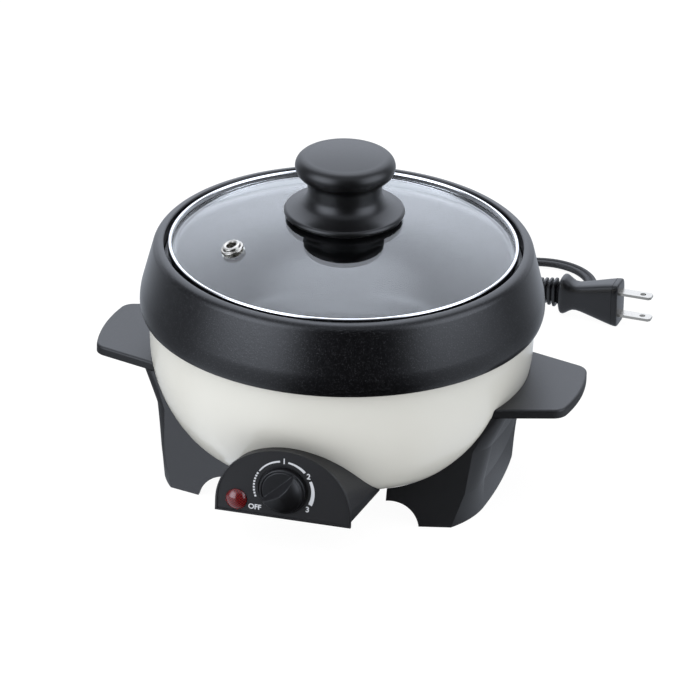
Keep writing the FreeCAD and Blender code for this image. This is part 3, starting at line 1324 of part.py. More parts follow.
def plug_section(x, half_height, half_depth, chamfer):
    """Upright eight-sided outline across the plug."""
    flat_z, flat_y = half_height - chamfer, half_depth - chamfer
    points = [V(x, y * sign_y, z * sign_z) for sign_y, sign_z, order in (
        (1, 1, 0), (-1, 1, 1), (-1, -1, 0), (1, -1, 1))
        for y, z in (((half_depth, flat_z), (flat_y, half_height)) if order == 0
                     else ((flat_y, half_height), (half_depth, flat_z)))]
    return Part.makePolygon(points + points[:1])


def plug():
    collar = (size("collar_half_height"), size("collar_half_depth"))
    waist = (size("waist_half_height"), size("waist_half_depth"))
    face = (size("face_half_height"), size("face_half_depth"))
    chamfer = size("plug_chamfer")
    start, stop = size("sleeve_end"), size("collar_end")
    narrow, end = size("waist_end"), size("plug_end")
    corner = size("collar_chamfer")
    rear = Part.makeLoft([plug_section(start, *collar, corner), plug_section(stop, *collar, corner),
                          plug_section(narrow, *waist, chamfer)], True, True)
    front = Part.makeLoft([plug_section(narrow, *waist, chamfer),
                           plug_section(end - size("face_length"), *face, chamfer),
                           plug_section(end, *face, chamfer)], True, True)
    rib = (size("rib_half_height"), size("rib_half_depth"))
    core = [share * size("rib_core_share") for share in rib]
    tail = size("cord_diameter/2 + sleeve_tail_wall")
    cut = size("sleeve_chamfer_share")
    sleeve = Part.makeLoft([plug_section(0, tail, tail, cut * tail),
                            plug_section(start, *core, cut * core[1])], True, True)
    body = rear.fuse(front).fuse(sleeve)
    for number in range(1, int(size("rib_count")) + 1):
        place = start - number * size("rib_pitch")
        share = 1 - size("rib_taper_share") * number
        outline = plug_section(place, rib[0] * share, rib[1] * share, rib[1] * share * cut)
        body = body.fuse(Part.Face(outline).extrude(V(size("rib_width"), 0, 0)))
    body.Placement = PLUG
    solid_piece(body.removeSplitter(), "plug_body")

    blades = []
    for side in (-1, 1):
        width, thickness, length = size("blade_width"), size("blade_thickness"), size("blade_length")
        middle = side * size("blade_pitch/2")
        tip = size("blade_tip")
        outline = [V(0, -width / 2, 0), V(length - tip, -width / 2, 0), V(length, tip - width / 2, 0),
                   V(length, width / 2 - tip, 0), V(length - tip, width / 2, 0), V(0, width / 2, 0)]
        blade = Part.Face(Part.makePolygon(outline + outline[:1])).extrude(UP * thickness)
        hole = Part.makeCylinder(size("blade_hole"), thickness, V(size("blade_hole_reach"), 0, 0))
        blade = blade.cut(hole)
        blade.translate(V(end, 0, middle - thickness / 2))
        blade.Placement = PLUG.multiply(blade.Placement)
        blades.append(blade)
    solid_piece(Part.Compound(blades), "plug_blades")


def inner_wires():
    """Insulated wires between the gland, the terminal block and the heater."""
    radius = size("wire_radius")
    mid = size(f"{PLATE_TOP} + block_height/2")
    near = size("block_reach")
    far = near + size("block_depth")
    turn = math.radians(pin_bearing())
    pin = V(size("element_radius") * math.cos(turn), size("element_radius") * math.sin(turn),
            size(f"{FLOOR_BOTTOM} - element_tube - element_gap - pin_length"))
    inside = GLAND_POINT - GLAND_AXIS * size("shell_sheet + gland_inner_gap + gland_inner_length")
    lead, turn = size("wire_lead"), size("wire_turn")
    spread, rise, bow, pair = size("wire_spread"), size("wire_rise"), size("wire_bow"), size("wire_pair")
    wires = []
    for side in (-1, 1):
        port = V(side * size("block_width/4"), far, mid)
        heater_end = V(side * pin.x, pin.y, pin.z)
        wires.append(rounded_path([heater_end, heater_end - UP * size("wire_drop"),
                                   port + V(0, lead, -size("wire_sag")), port])[0])
        entry = V(side * size("block_width/4"), near, mid)
        exit_point = inside + V(side * pair, 0, 0)
        wires.append(rounded_path([entry, entry - V(0, lead, 0), entry + V(side * spread, -turn, rise),
                                   entry + V(side * (spread + pair), size("wire_run"),
                                             rise + size("wire_sag")),
                                   inside + V(side * bow, -bow, -pair),
                                   exit_point - GLAND_AXIS * turn, exit_point])[0])
    shapes = []
    for path in wires:
        first = path.OrderedEdges[0]
        way = first.tangentAt(first.FirstParameter)
        profile = Part.Wire(Part.makeCircle(radius, first.valueAt(first.FirstParameter), way))
        shapes.append(path.makePipeShell([profile], True, False))
    solid_piece(Part.Compound(shapes), "lead_wires")


lid()
pan()
bowl()
underside()
heater()
legs()
solid_piece(Part.Compound([case_screw(*place) for side in ("right", "left") for place in LEG_SCREWS[side]]),
            "leg_screws")
housing()
solid_piece(Part.Compound([case_screw(*place) for place in HOUSING_SCREWS]), "housing_screws")
dial()
gland()
lead()
plug()
inner_wires()
# The pot stands with the middle of its outline at the origin, so its axis is a little behind it.
for piece in NODES:
    place = round(piece.Placement.Base.y, 6)
    piece.setExpression("Placement.Base.y", bound(f"{place} + axis_back"))
doc.recompute()

for item in doc.Objects:
    if "Invalid" in item.State or "Error" in item.State:
        raise RuntimeError(f"{item.Label}: {item.State}")
for piece in NODES:
    shape = piece.Shape
    if shape.isNull() or not shape.isValid() or not shape.Solids:
        raise RuntimeError(f"{piece.Label} has no valid solid")
for piece in NODES:
    piece.Shape.exportStep(f"parts/{piece.Label}.step")
    box = piece.Shape.BoundBox
    print(f"{piece.Label}: {len(piece.Shape.Solids)} solid, volume {piece.Shape.Volume:.0f}, "
          f"x {box.XMin:.1f}..{box.XMax:.1f}, y {box.YMin:.1f}..{box.YMax:.1f}, "
          f"z {box.ZMin:.1f}..{box.ZMax:.1f}")
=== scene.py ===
from math import cos, radians, sin

import bmesh
import bpy
import numpy as np
from mathutils import Matrix, Vector


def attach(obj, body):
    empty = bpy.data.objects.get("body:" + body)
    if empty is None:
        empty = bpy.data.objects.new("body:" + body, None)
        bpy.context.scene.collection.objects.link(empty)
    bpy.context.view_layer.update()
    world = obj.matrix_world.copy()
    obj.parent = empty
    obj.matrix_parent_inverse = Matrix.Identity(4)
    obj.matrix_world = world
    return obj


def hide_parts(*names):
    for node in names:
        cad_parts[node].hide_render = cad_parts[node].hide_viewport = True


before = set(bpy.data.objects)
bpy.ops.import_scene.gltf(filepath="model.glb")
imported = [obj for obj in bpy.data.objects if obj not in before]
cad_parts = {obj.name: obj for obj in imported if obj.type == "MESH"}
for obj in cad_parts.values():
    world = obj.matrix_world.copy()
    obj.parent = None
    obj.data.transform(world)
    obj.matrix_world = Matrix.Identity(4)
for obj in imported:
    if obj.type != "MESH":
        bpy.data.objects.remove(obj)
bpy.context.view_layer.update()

# All sizes below are in millimetres and degrees, in the frame of the part.
MM = 0.001
RIGHT, BACK, UP = np.eye(3)

# The pot's upright axis. The places of all pieces are measured from it.
AXIS = np.array((0.0, 7.82, 0.0))

# The lid: its seat in the pan's groove, the sphere of its dome, and the wall and edge of its glass.
SEAT = 116.6
DOME_TOP = 142.8
DOME_RADIUS = 198.3
GLASS = 3.8
GLASS_EDGE = 88.8

# The control panel: the foot of its face, which leans back, and the dial's middle on it.
PANEL_FOOT = np.array((0.0, -110.0, 20.2))
PANEL_LEAN = radians(3.0)
PANEL_OUT = np.array((0.0, -cos(PANEL_LEAN), sin(PANEL_LEAN)))
PANEL_UP = np.array((0.0, sin(PANEL_LEAN), cos(PANEL_LEAN)))
DIAL_HEIGHT = 36.3
DIAL_UP = (DIAL_HEIGHT - PANEL_FOOT[2]) / cos(PANEL_LEAN)
DIAL_MIDDLE = PANEL_FOOT + PANEL_UP * DIAL_UP


# The camera of the photograph: a long lens, turned round the pot and rolled a little.

AZIMUTH = 14.70
ELEVATION = 26.34
ROLL = -1.28
AIM_HEIGHT = 80.0
AWAY = 4000.0
STEP_RIGHT = 4.44
STEP_DOWN = 14.68
FILM = 36.0
PICTURE_PIXELS = 700.0
FOCAL_PIXELS = 7800.94


def stand_camera():
    """The way back to the camera, at azimuth a and elevation e, is (sin a cos e, -cos a cos e, sin e)."""
    azimuth, elevation = radians(AZIMUTH), radians(ELEVATION)
    back = Vector((sin(azimuth) * cos(elevation), -cos(azimuth) * cos(elevation), sin(elevation)))
    right = Vector((cos(azimuth), sin(azimuth), 0.0))
    up = back.cross(right)
    aim = Vector((AXIS + UP * AIM_HEIGHT) * MM)
    place = aim + (back * AWAY + right * STEP_RIGHT - up * STEP_DOWN) * MM
    lens = bpy.data.cameras.new("photo_lens")
    lens.sensor_width = FILM
    lens.lens = FILM * FOCAL_PIXELS / PICTURE_PIXELS
    lens.clip_end = 60.0
    camera = bpy.data.objects.new("photo_camera", lens)
    turn = Matrix((right, up, back)).transposed().to_4x4() @ Matrix.Rotation(-radians(ROLL), 4, "Z")
    camera.matrix_world = Matrix.Translation(place) @ turn
    bpy.context.scene.collection.objects.link(camera)
    bpy.context.scene.camera = camera


# Surfaces worked out as whole arrays.

def surface(name, grid, finish, rows_closed=False, crease=35.0):
    """Quads over a grid of points (rows, columns, 3) in millimetres. The last column joins the first,
    and so does the last row where rows are closed. Points that fall together, as at a pole, become one."""
    rows, columns, _ = grid.shape
    number = np.arange(rows * columns).reshape(rows, columns)
    if rows_closed:
        number = np.vstack((number, number[:1]))
    number = np.hstack((number, number[:, :1]))
    corners = (number[:-1, :-1], number[:-1, 1:], number[1:, 1:], number[1:, :-1])
    mesh = bpy.data.meshes.new(name)
    mesh.from_pydata(grid.reshape(-1, 3) * MM, [], np.stack(corners, axis=-1).reshape(-1, 4))
    return placed(name, mesh, finish, crease)


def capped(grid):
    """The grid with its first and last row each closed by a row that lies in the row's middle."""
    middles = np.repeat(grid.mean(axis=1, keepdims=True), grid.shape[1], axis=1)
    return np.concatenate((middles[:1], grid, middles[-1:]))


def placed(name, mesh, finish, crease=35.0):
    """Cleans a mesh, points its faces outwards and links it as a piece with its material."""
    work = bmesh.new()
    work.from_mesh(mesh)
    bmesh.ops.remove_doubles(work, verts=work.verts, dist=0.002 * MM)
    bmesh.ops.dissolve_degenerate(work, edges=work.edges, dist=0.001 * MM)
    bmesh.ops.recalc_face_normals(work, faces=work.faces)
    work.to_mesh(mesh)
    work.free()
    mesh.shade_smooth()
    mesh.set_sharp_from_angle(angle=radians(crease))
    mesh.materials.append(finish)
    piece = bpy.data.objects.new(name, mesh)
    bpy.context.scene.collection.objects.link(piece)
    return piece


def moved(piece, place, across, over, out):
    """Carries a piece's mesh from local directions (across, over, out) at a place measured from the
    pot's axis into the part's frame."""
    local = np.empty(len(piece.data.vertices) * 3)
    piece.data.vertices.foreach_get("co", local)
    axes = np.array((across, over, out), float)
    points = local.reshape(-1, 3) @ axes + (np.array(place) + AXIS) * MM
    piece.data.vertices.foreach_set("co", points.reshape(-1))
    piece.data.update()
    return piece


def bowed(start, end, curve, steps):
    """Points from start up to end on a circle of radius |curve| about middle -/+ right * sqrt(curve^2 -
    half^2); a positive curve bulges to the right of the way and 0 is a straight line."""
    start, end = np.array(start, float), np.array(end, float)
    share = np.linspace(0.0, 1.0, steps, endpoint=False)[:, None]
    if curve == 0:
        return start + (end - start) * share[:1]
    way = end - start
    half = np.linalg.norm(way) / 2
    right = np.array((way[1], -way[0])) / (2 * half)
    centre = (start + end) / 2 - np.sign(curve) * right * np.sqrt(curve ** 2 - half ** 2)
    first = np.arctan2(*(start - centre)[::-1])
    angle = first + np.sign(curve) * 2 * np.arcsin(half / abs(curve)) * share
    return centre + abs(curve) * np.hstack((np.cos(angle), np.sin(angle)))


def outline(corners, steps=10, closed=True):
    """A line through corners (radius, height[, curve to the next corner])."""
    ends = corners[1:] + corners[:1] if closed else corners[1:]
    parts = [bowed(corner[:2], end[:2], corner[2] if len(corner) > 2 else 0, steps)
             for corner, end in zip(corners, ends)]
    if not closed:
        parts.append(np.array([corners[-1][:2]], float))
    return np.vstack(parts)


def raised(rise, *corners):
    """The corners of an outline with their heights counted from rise."""
    return [(radius, rise + height, *curve) for radius, height, *curve in corners]


def turned(name, line, finish, turns, closed=True, place=(0.0, 0.0, 0.0), across=RIGHT, over=BACK, axis=UP):
    """A lathe form: x = radius cos t, y = radius sin t, z = height, for t once round, carried to its
    place."""
    t = np.linspace(0.0, 2 * np.pi, turns, endpoint=False)
    radius, height = line[:, 0][:, None], line[:, 1][:, None]
    grid = np.stack((radius * np.cos(t), radius * np.sin(t), height + 0 * t), axis=-1)
    return moved(surface(name, grid, finish, rows_closed=closed), place, across, over, axis)


def stand_in(piece, body, slot, *nodes):
    """The piece rides on a body and takes the place of nodes of the part, which are hidden. slot is not
    used.
    """
    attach(piece, body)
    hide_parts(*nodes)


# Finishes. Every pattern reads Object coordinates; grain and cloud count repeats in a metre.

VECTOR, NUMBER = "NodeSocketVector", "NodeSocketFloat"


def paint(red, green, blue):
    """A colour given in 0 to 255 steps of a screen, as linear light."""
    screen = np.array((red, green, blue)) / 255.0
    light = np.where(screen <= 0.04045, screen / 12.92, ((screen + 0.055) / 1.055) ** 2.4)
    return (*(float(v) for v in light), 1.0)


def metal(red, green, blue):
    """The linear colour of a bare metal."""
    return (red, green, blue, 1.0)


def node(tree, kind, plain=None, **settings):
    """A new shader node with its settings, and plain values on its sockets."""
    new = tree.nodes.new("ShaderNode" + kind)
    for name, value in settings.items():
        setattr(new, name, value)
    for socket, value in (plain or {}).items():
        new.inputs[socket].default_value = value
    return new


def node_group(name, inputs, outputs):
    """An empty node group with named inputs and outputs, and its entry and leave nodes."""
    group = bpy.data.node_groups.new(name, "ShaderNodeTree")
    for way, sockets in (("INPUT", inputs), ("OUTPUT", outputs)):
        for label, kind in sockets.items():
            group.interface.new_socket(label, in_out=way, socket_type=kind)
    return group, group.nodes.new("NodeGroupInput"), group.nodes.new("NodeGroupOutput")


def grain_group():
    """Fine moulded grain, of height noise + 0.6 * distance in soft cells, and a slow cloud for tone."""
    group, entry, leave = node_group(
        "moulded_grain", {"Vector": VECTOR, "Grain Scale": NUMBER, "Cloud Scale": NUMBER},
        {"Height": NUMBER, "Cloud": NUMBER})
    link = group.links.new
    fine = node(group, "TexNoise", {"Detail": 3.0})
    cell = node(group, "TexVoronoi", feature="SMOOTH_F1")
    both = node(group, "Math", {1: 0.6}, operation="MULTIPLY_ADD")
    cloud = node(group, "TexNoise", {"Detail": 2.0})
    for pattern, scale in ((fine, "Grain Scale"), (cell, "Grain Scale"), (cloud, "Cloud Scale")):
        link(entry.outputs["Vector"], pattern.inputs["Vector"])
        link(entry.outputs[scale], pattern.inputs["Scale"])
    link(cell.outputs["Distance"], both.inputs[0])
    link(fine.outputs["Fac"], both.inputs[2])
    link(both.outputs[0], leave.inputs["Height"])
    link(cloud.outputs["Fac"], leave.inputs["Cloud"])
    return group


GRAIN = grain_group()


def finish(name, dark, light, rough=(0.4, 0.5), grain=900.0, cloud=25.0, bump=0.1, depth=0.1, bare=0.0,
           **sockets):
    """A finish whose tone drifts between two colours, and whose roughness and relief follow a fine
    grain. The relief is depth deep at full bump, and bare is the share of metal."""
    material = bpy.data.materials.new(name)
    material.use_nodes = True
    tree = material.node_tree
    link = tree.links.new
    shader = tree.nodes["Principled BSDF"]
    shader.inputs["Metallic"].default_value = bare
    for socket, value in sockets.items():
        shader.inputs[socket.replace("_", " ")].default_value = value
    place = node(tree, "TexCoord")
    texture = node(tree, "Group", {"Grain Scale": grain, "Cloud Scale": cloud}, node_tree=GRAIN)
    tone = node(tree, "Mix", {"A": dark, "B": light}, data_type="RGBA")
    gloss = node(tree, "MapRange", {"To Min": rough[0], "To Max": rough[1]})
    relief = node(tree, "Bump", {"Strength": bump, "Distance": depth * MM})
    link(place.outputs["Object"], texture.inputs["Vector"])
    link(texture.outputs["Cloud"], tone.inputs["Factor"])
    link(tone.outputs["Result"], shader.inputs["Base Color"])
    link(texture.outputs["Height"], gloss.inputs["Value"])
    link(gloss.outputs["Result"], shader.inputs["Roughness"])
    link(texture.outputs["Height"], relief.inputs["Height"])
    link(relief.outputs["Normal"], shader.inputs["Normal"])
    return material


COAT_EDGE = 90.0


def speckled_coat():
    """Black non-stick coat. Where the distance from the pot's axis passes COAT_EDGE, just outside the
    pan's groove, it has a mottled relief, and cells whose own random value is high are partly bare
    metal."""
    material = finish("nonstick_coat", paint(7, 7, 9), paint(10, 10, 13), rough=(0.27, 0.29), grain=1000.0,
                      cloud=30.0, depth=0.12)
    tree = material.node_tree
    link = tree.links.new
    shader = tree.nodes["Principled BSDF"]
    ground = shader.inputs["Base Color"].links[0].from_socket
    relief = shader.inputs["Normal"].links[0].from_node
    place = node(tree, "TexCoord").outputs["Object"]
    cells = node(tree, "TexVoronoi", {"Scale": 3600.0})
    split = node(tree, "SeparateColor")
    level = node(tree, "VectorMath", {1: (1.0, 1.0, 0.0)}, operation="MULTIPLY")
    apart = node(tree, "VectorMath", {1: AXIS * MM}, operation="DISTANCE")
    fade = {"From Min": (COAT_EDGE - 1.0) * MM, "From Max": (COAT_EDGE + 1.0) * MM, "To Max": 0.2}
    outside = node(tree, "MapRange", fade)
    pick = node(tree, "MapRange", {"From Min": 0.90, "From Max": 1.0})
    fleck = node(tree, "Mix", {"B": metal(0.24, 0.25, 0.28)}, data_type="RGBA")
    link(place, level.inputs[0])
    link(level.outputs["Vector"], apart.inputs[0])
    link(apart.outputs["Value"], outside.inputs["Value"])
    link(outside.outputs["Result"], relief.inputs["Strength"])
    link(place, cells.inputs["Vector"])
    link(cells.outputs["Color"], split.inputs["Color"])
    link(split.outputs["Red"], pick.inputs["Value"])
    link(outside.outputs["Result"], pick.inputs["To Max"])
    link(ground, fleck.inputs["A"])
    link(pick.outputs["Result"], fleck.inputs["Factor"])
    link(fleck.outputs["Result"], shader.inputs["Base Color"])
    link(pick.outputs["Result"], shader.inputs["Metallic"])
    return material


def clear_glass():
    """Clear tempered glass with faces that are very slightly uneven. Rays to the lamps pass it
    straight."""
    material = finish("lid_clear_glass", (0.96, 0.98, 0.98, 1.0), (0.98, 1.0, 0.99, 1.0), rough=(0.0, 0.01),
                      grain=14.0, cloud=8.0, bump=0.01, IOR=1.52, Transmission_Weight=1.0)
    tree = material.node_tree
    link = tree.links.new
    straight = node(tree, "BsdfTransparent", {"Color": (0.90, 0.92, 0.92, 1.0)})
    rays = node(tree, "LightPath")
    either = node(tree, "MixShader")
    link(rays.outputs["Is Shadow Ray"], either.inputs["Fac"])
    link(tree.nodes["Principled BSDF"].outputs["BSDF"], either.inputs[1])
    link(straight.outputs["BSDF"], either.inputs[2])
    link(either.outputs["Shader"], tree.nodes["Material Output"].inputs["Surface"])
    return material


# Pitch of the painted prism glints on the lens.
PRISM = 1.5


def red_lens():
    """Translucent red lens: dark red under a glossy face, with painted glints of its small prisms: a grid of
    lighter red cells, sin(kx) sin(kz) with k = 2 pi / PRISM, painted into the base colour."""
    material = finish("lamp_red_lens", paint(60, 6, 9), paint(78, 9, 12), rough=(0.16, 0.24), grain=500.0,
                      cloud=160.0, bump=0.05, Coat_Weight=0.7, Coat_Roughness=0.06)
    tree = material.node_tree
    link = tree.links.new
    shader = tree.nodes["Principled BSDF"]
    place = node(tree, "TexCoord")
    split = node(tree, "SeparateXYZ")
    link(place.outputs["Object"], split.inputs["Vector"])
    prisms = node(tree, "Math", operation="MULTIPLY")
    for number, axis in enumerate(("X", "Z")):
        scaled = node(tree, "Math", {1: 2 * np.pi / (PRISM * MM)}, operation="MULTIPLY")
        wave = node(tree, "Math", operation="SINE")
        link(split.outputs[axis], scaled.inputs[0])
        link(scaled.outputs[0], wave.inputs[0])
        link(wave.outputs[0], prisms.inputs[number])
    share = node(tree, "MapRange", {"From Min": -0.5, "From Max": 0.5})
    # Painted glints: where the sine grid is high the colour turns a lighter red, standing in for light
    # caught by the prisms.
    cut = node(tree, "Mix", {"B": paint(112, 15, 17)}, data_type="RGBA")
    link(prisms.outputs[0], share.inputs["Value"])
    link(shader.inputs["Base Color"].links[0].from_socket, cut.inputs["A"])
    link(share.outputs["Result"], cut.inputs["Factor"])
    link(cut.outputs["Result"], shader.inputs["Base Color"])
    return material


IVORY = finish("ivory_enamel", paint(217, 217, 211), paint(221, 221, 215), rough=(0.20, 0.27), grain=260.0,
               cloud=9.0, bump=0.02, Coat_Weight=0.35, Coat_Roughness=0.08)
COAT = speckled_coat()
CHROME = finish("ring_chrome", metal(0.80, 0.80, 0.81), metal(0.86, 0.86, 0.87), rough=(0.06, 0.12),
                grain=500.0, cloud=40.0, bump=0.02, bare=1.0)
NICKEL = finish("nickel_plate", metal(0.41, 0.39, 0.355), metal(0.46, 0.44, 0.40), rough=(0.18, 0.28),
                grain=700.0, cloud=60.0, bump=0.04, bare=1.0)
STEEL = finish("plain_steel", metal(0.52, 0.52, 0.53), metal(0.62, 0.62, 0.64), rough=(0.25, 0.4),
               cloud=60.0, bump=0.06, bare=1.0)
SHEET = finish("aluminised_sheet", metal(0.62, 0.62, 0.63), metal(0.70, 0.70, 0.71), rough=(0.28, 0.42),
               grain=300.0, cloud=30.0, bump=0.05, bare=1.0)
HEATER = finish("oxidised_heater", metal(0.20, 0.19, 0.18), metal(0.30, 0.28, 0.25), rough=(0.4, 0.6),
                grain=600.0, cloud=80.0, bare=0.9)
BRASS = finish("turned_brass", metal(0.60, 0.44, 0.18), metal(0.70, 0.52, 0.24), rough=(0.22, 0.35),
               grain=800.0, cloud=60.0, bump=0.05, bare=1.0)
CERAMIC = finish("unglazed_ceramic", paint(222, 216, 202), paint(232, 228, 216), rough=(0.6, 0.75),
                 cloud=60.0, bump=0.2)
PHENOLIC = finish("knob_phenolic", paint(9, 9, 10), paint(12, 12, 14), rough=(0.28, 0.36), grain=1400.0,
                  cloud=40.0, bump=0.05, depth=0.05)
LEG_BLACK = finish("leg_plastic", paint(15, 15, 16), paint(19, 19, 21), rough=(0.36, 0.46), grain=1700.0,
                   cloud=30.0, bump=0.25, depth=0.08)
CASE_BLACK = finish("housing_plastic", paint(24, 24, 26), paint(30, 30, 32), rough=(0.42, 0.55),
                    grain=1900.0, cloud=30.0, bump=0.18, depth=0.06)
DIAL_BLACK = finish("dial_plastic", paint(11, 11, 13), paint(15, 15, 18), rough=(0.36, 0.48), grain=1900.0,
                    cloud=60.0, bump=0.12, depth=0.05)
RUBBER = finish("silicone_washer", paint(24, 24, 24), paint(32, 32, 32), rough=(0.7, 0.8), cloud=60.0)
CORD_BLACK = finish("cord_vinyl", paint(12, 12, 14), paint(16, 16, 18), rough=(0.42, 0.56), grain=1500.0,
                    cloud=60.0, bump=0.15, depth=0.06)
PLUG_BLACK = finish("plug_vinyl", paint(12, 12, 15), paint(16, 16, 19), rough=(0.24, 0.34), grain=1300.0,
                    cloud=50.0, bump=0.08, depth=0.06)
SLEEVING = finish("wire_sleeving", paint(222, 218, 206), paint(232, 229, 220), rough=(0.5, 0.65),
                  cloud=80.0)
INK = finish("white_print", paint(194, 198, 205), paint(210, 213, 219), rough=(0.5, 0.6), grain=1600.0,
             cloud=90.0, bump=0.05, depth=0.03)
LENS = red_lens()
CLEAR_GLASS = clear_glass()


# The lead: one smooth spline from the gland, through the put-away coil, round its loop and into the plug.

GLAND_MOUTH = (0.0, 93.0, 18.5)
GLAND_DIP = radians(40.0)
GLAND_DEPTH = 14.0
FLEX_HALF = 3.3
FLEX_CORE = FLEX_HALF / 2
FLEX_WEB = 0.8
WEB_REACH = 2.6
ON_EDGE = 58.0
COIL_MIDDLE = (-24.5, 171.0)
COIL_TURNS = ((29.4, 1.85), (22.6, 1.85), (22.6, 5.3), (29.4, 5.3))
PLUG_PLACE = np.array((48.6, 204.6, 11.8))
PLUG_TURN = radians(-3.5)
PLUG_WAY = np.array((cos(PLUG_TURN), sin(PLUG_TURN), 0.0))


def coil_points():
    """Twelve points a turn on circles about the coil's middle, each turn at its own radius and height,
    which change over softly."""
    steps = 12
    soft = np.ones(5) / 5
    radii, heights = (np.convolve(np.pad(np.repeat(level, steps), 2, mode="edge"), soft, mode="valid")
                      for level in zip(*COIL_TURNS))
    angle = np.arange(radii.size) * 2 * np.pi / steps
    across, along = COIL_MIDDLE
    return np.stack((across + radii * np.cos(angle), along + radii * np.sin(angle), heights), axis=1)


def lead_route():
    """The control points of the whole lead."""
    from_gland = np.array((GLAND_MOUTH, (0.0, 111.9, 1.9), (1.0, 135.9, 1.85), (3.8, 156.0, 1.85)))
    to_plug = np.array((
        (5.0, 172.0, 5.3),
        (4.6, 190.0, 4.8),
        (12.0, 204.2, 3.2),
        (27.0, 211.8, 1.9),
        (43.0, 213.6, 1.85),
        (60.0, 214.6, 1.85),
        (71.5, 218.8, 1.85),
        (77.4, 229.5, 1.85),
        (75.8, 242.5, 1.9),
        (66.6, 252.6, 2.3),
        (54.0, 257.0, 2.6),
        (41.0, 255.2, 2.9),
        (29.0, 246.5, 4.2),
        (21.0, 236.5, 6.0),
        (18.2, 224.0, 8.4),
        (22.8, 212.2, 10.8),
    ))
    into_plug = np.array((PLUG_PLACE - PLUG_WAY * 15.6, PLUG_PLACE + PLUG_WAY * 2.0))
    return np.vstack((from_gland, coil_points(), to_plug, into_plug)) + AXIS


def smooth_line(points):
    """Points along the NURBS spline that has these control points, in metres."""
    curve = bpy.data.curves.new("lead_line", "CURVE")
    curve.dimensions = "3D"
    curve.resolution_u = 8
    spline = curve.splines.new("NURBS")
    spline.points.add(len(points) - 1)
    spline.points.foreach_set("co", np.hstack((points * MM, np.ones((len(points), 1)))).reshape(-1))
    spline.order_u = 3
    spline.use_endpoint_u = True
    holder = bpy.data.objects.new("lead_line", curve)
    mesh = bpy.data.meshes.new_from_object(holder)
    line = np.empty(len(mesh.vertices) * 3)
    mesh.vertices.foreach_get("co", line)
    bpy.data.objects.remove(holder)
    bpy.data.meshes.remove(mesh)
    return line.reshape(-1, 3)


def twin_flex(name, line):
    """A flat twin cord along a line in metres, and its length. Across the cord at t the outline is x =
    h cos t and y = +/- sqrt(c^2 - (|x| - c)^2), for half width h and core radius c, no thinner than the
    web between the cores. The cord stands on edge over its last stretch."""
    way = np.gradient(line, axis=0)
    way /= np.linalg.norm(way, axis=1)[:, None]
    level = np.cross(way, UP)
    level /= np.linalg.norm(level, axis=1)[:, None]
    over = np.cross(level, way)
    step = np.linalg.norm(np.diff(line, axis=0), axis=1)
    along = np.concatenate(((0.0,), np.cumsum(step)))
    share = np.clip(1.0 - (along[-1] - along) / (ON_EDGE * MM), 0.0, 1.0)
    tilt = np.pi / 2 * (share * share * (3 - 2 * share))[:, None]
    side = level * np.cos(tilt) + over * np.sin(tilt)
    top = over * np.cos(tilt) - level * np.sin(tilt)
    t = np.linspace(0.0, 2 * np.pi, 36, endpoint=False) + np.pi / 36
    wide = FLEX_HALF * np.cos(t)
    core = np.sqrt(np.maximum(FLEX_CORE ** 2 - (np.abs(wide) - FLEX_CORE) ** 2, 0.0))
    high = np.maximum(core, FLEX_WEB * (np.abs(wide) < WEB_REACH)) * np.sign(np.sin(t))
    grid = line[:, None, :] / MM + side[:, None, :] * wide[:, None] + top[:, None, :] * high[:, None]
    return surface(name, capped(grid), CORD_BLACK), float(along[-1])


def plug_moulding():
    """The moulded plug: sections along its length, each a superellipse |y/depth|^n + |z/height|^n = 1
    that is cut flat where it would reach into the table. A section is (along, half height, half depth,
    n)."""
    sleeve = [(0.0, 3.6, 2.3, 3.0), (0.05, 3.9, 2.6, 3.0), (2.4, 4.6, 3.0, 3.2), (3.0, 5.0, 3.2, 3.4)]
    ribs = []
    for number in range(5):
        start, grow = 4.3 + number * 2.75, 0.80 + 0.05 * number
        for step, size_high, size_deep, power in (
                (-0.05, 0.72, 0.66, 3.4), (0.12, 0.98, 0.97, 3.6), (0.35, 1.0, 1.0, 3.8),
                (1.15, 1.0, 1.0, 3.8), (1.40, 0.98, 0.97, 3.6), (1.55, 0.72, 0.66, 3.4)):
            ribs.append((start + step, 7.6 * grow * size_high, 4.9 * grow * size_deep, power))
    body = [
        (18.4, 6.2, 4.0, 3.4), (18.9, 8.2, 5.0, 3.4), (19.6, 9.8, 6.2, 3.4), (20.4, 10.5, 6.8, 3.4),
        (21.6, 10.6, 6.9, 3.4), (22.8, 10.0, 6.7, 3.4), (24.6, 8.7, 6.3, 3.5), (26.6, 7.6, 5.8, 3.6),
        (28.8, 7.4, 5.8, 3.6), (31.5, 7.8, 6.0, 3.7), (35.0, 8.7, 6.3, 3.8), (40.0, 10.0, 6.8, 4.0),
        (45.0, 11.3, 7.2, 4.2), (48.5, 12.1, 7.5, 4.4), (49.2, 12.3, 7.55, 4.5), (49.3, 12.1, 7.4, 4.5),
        (49.7, 12.1, 7.4, 4.5), (49.8, 12.4, 7.6, 4.5), (51.6, 12.5, 7.6, 4.6), (52.1, 12.35, 7.45, 4.6),
        (52.4, 12.0, 7.1, 4.5), (52.5, 11.2, 6.4, 4.4),
    ]
    along, tall, thick, power = (column[:, None] for column in np.array(sleeve + ribs + body).T)
    t = np.linspace(0.0, 2 * np.pi, 96, endpoint=False)
    deep = thick * np.sign(np.cos(t)) * np.abs(np.cos(t)) ** (2.0 / power)
    high = tall * np.sign(np.sin(t)) * np.abs(np.sin(t)) ** (2.0 / power)
    grid = np.stack((along + 0 * t, deep, np.maximum(high, -PLUG_PLACE[2])), axis=-1)
    piece = surface("plug_moulding", capped(grid), PLUG_BLACK)
    return moved(piece, PLUG_PLACE, PLUG_WAY, np.cross(UP, PLUG_WAY), UP)


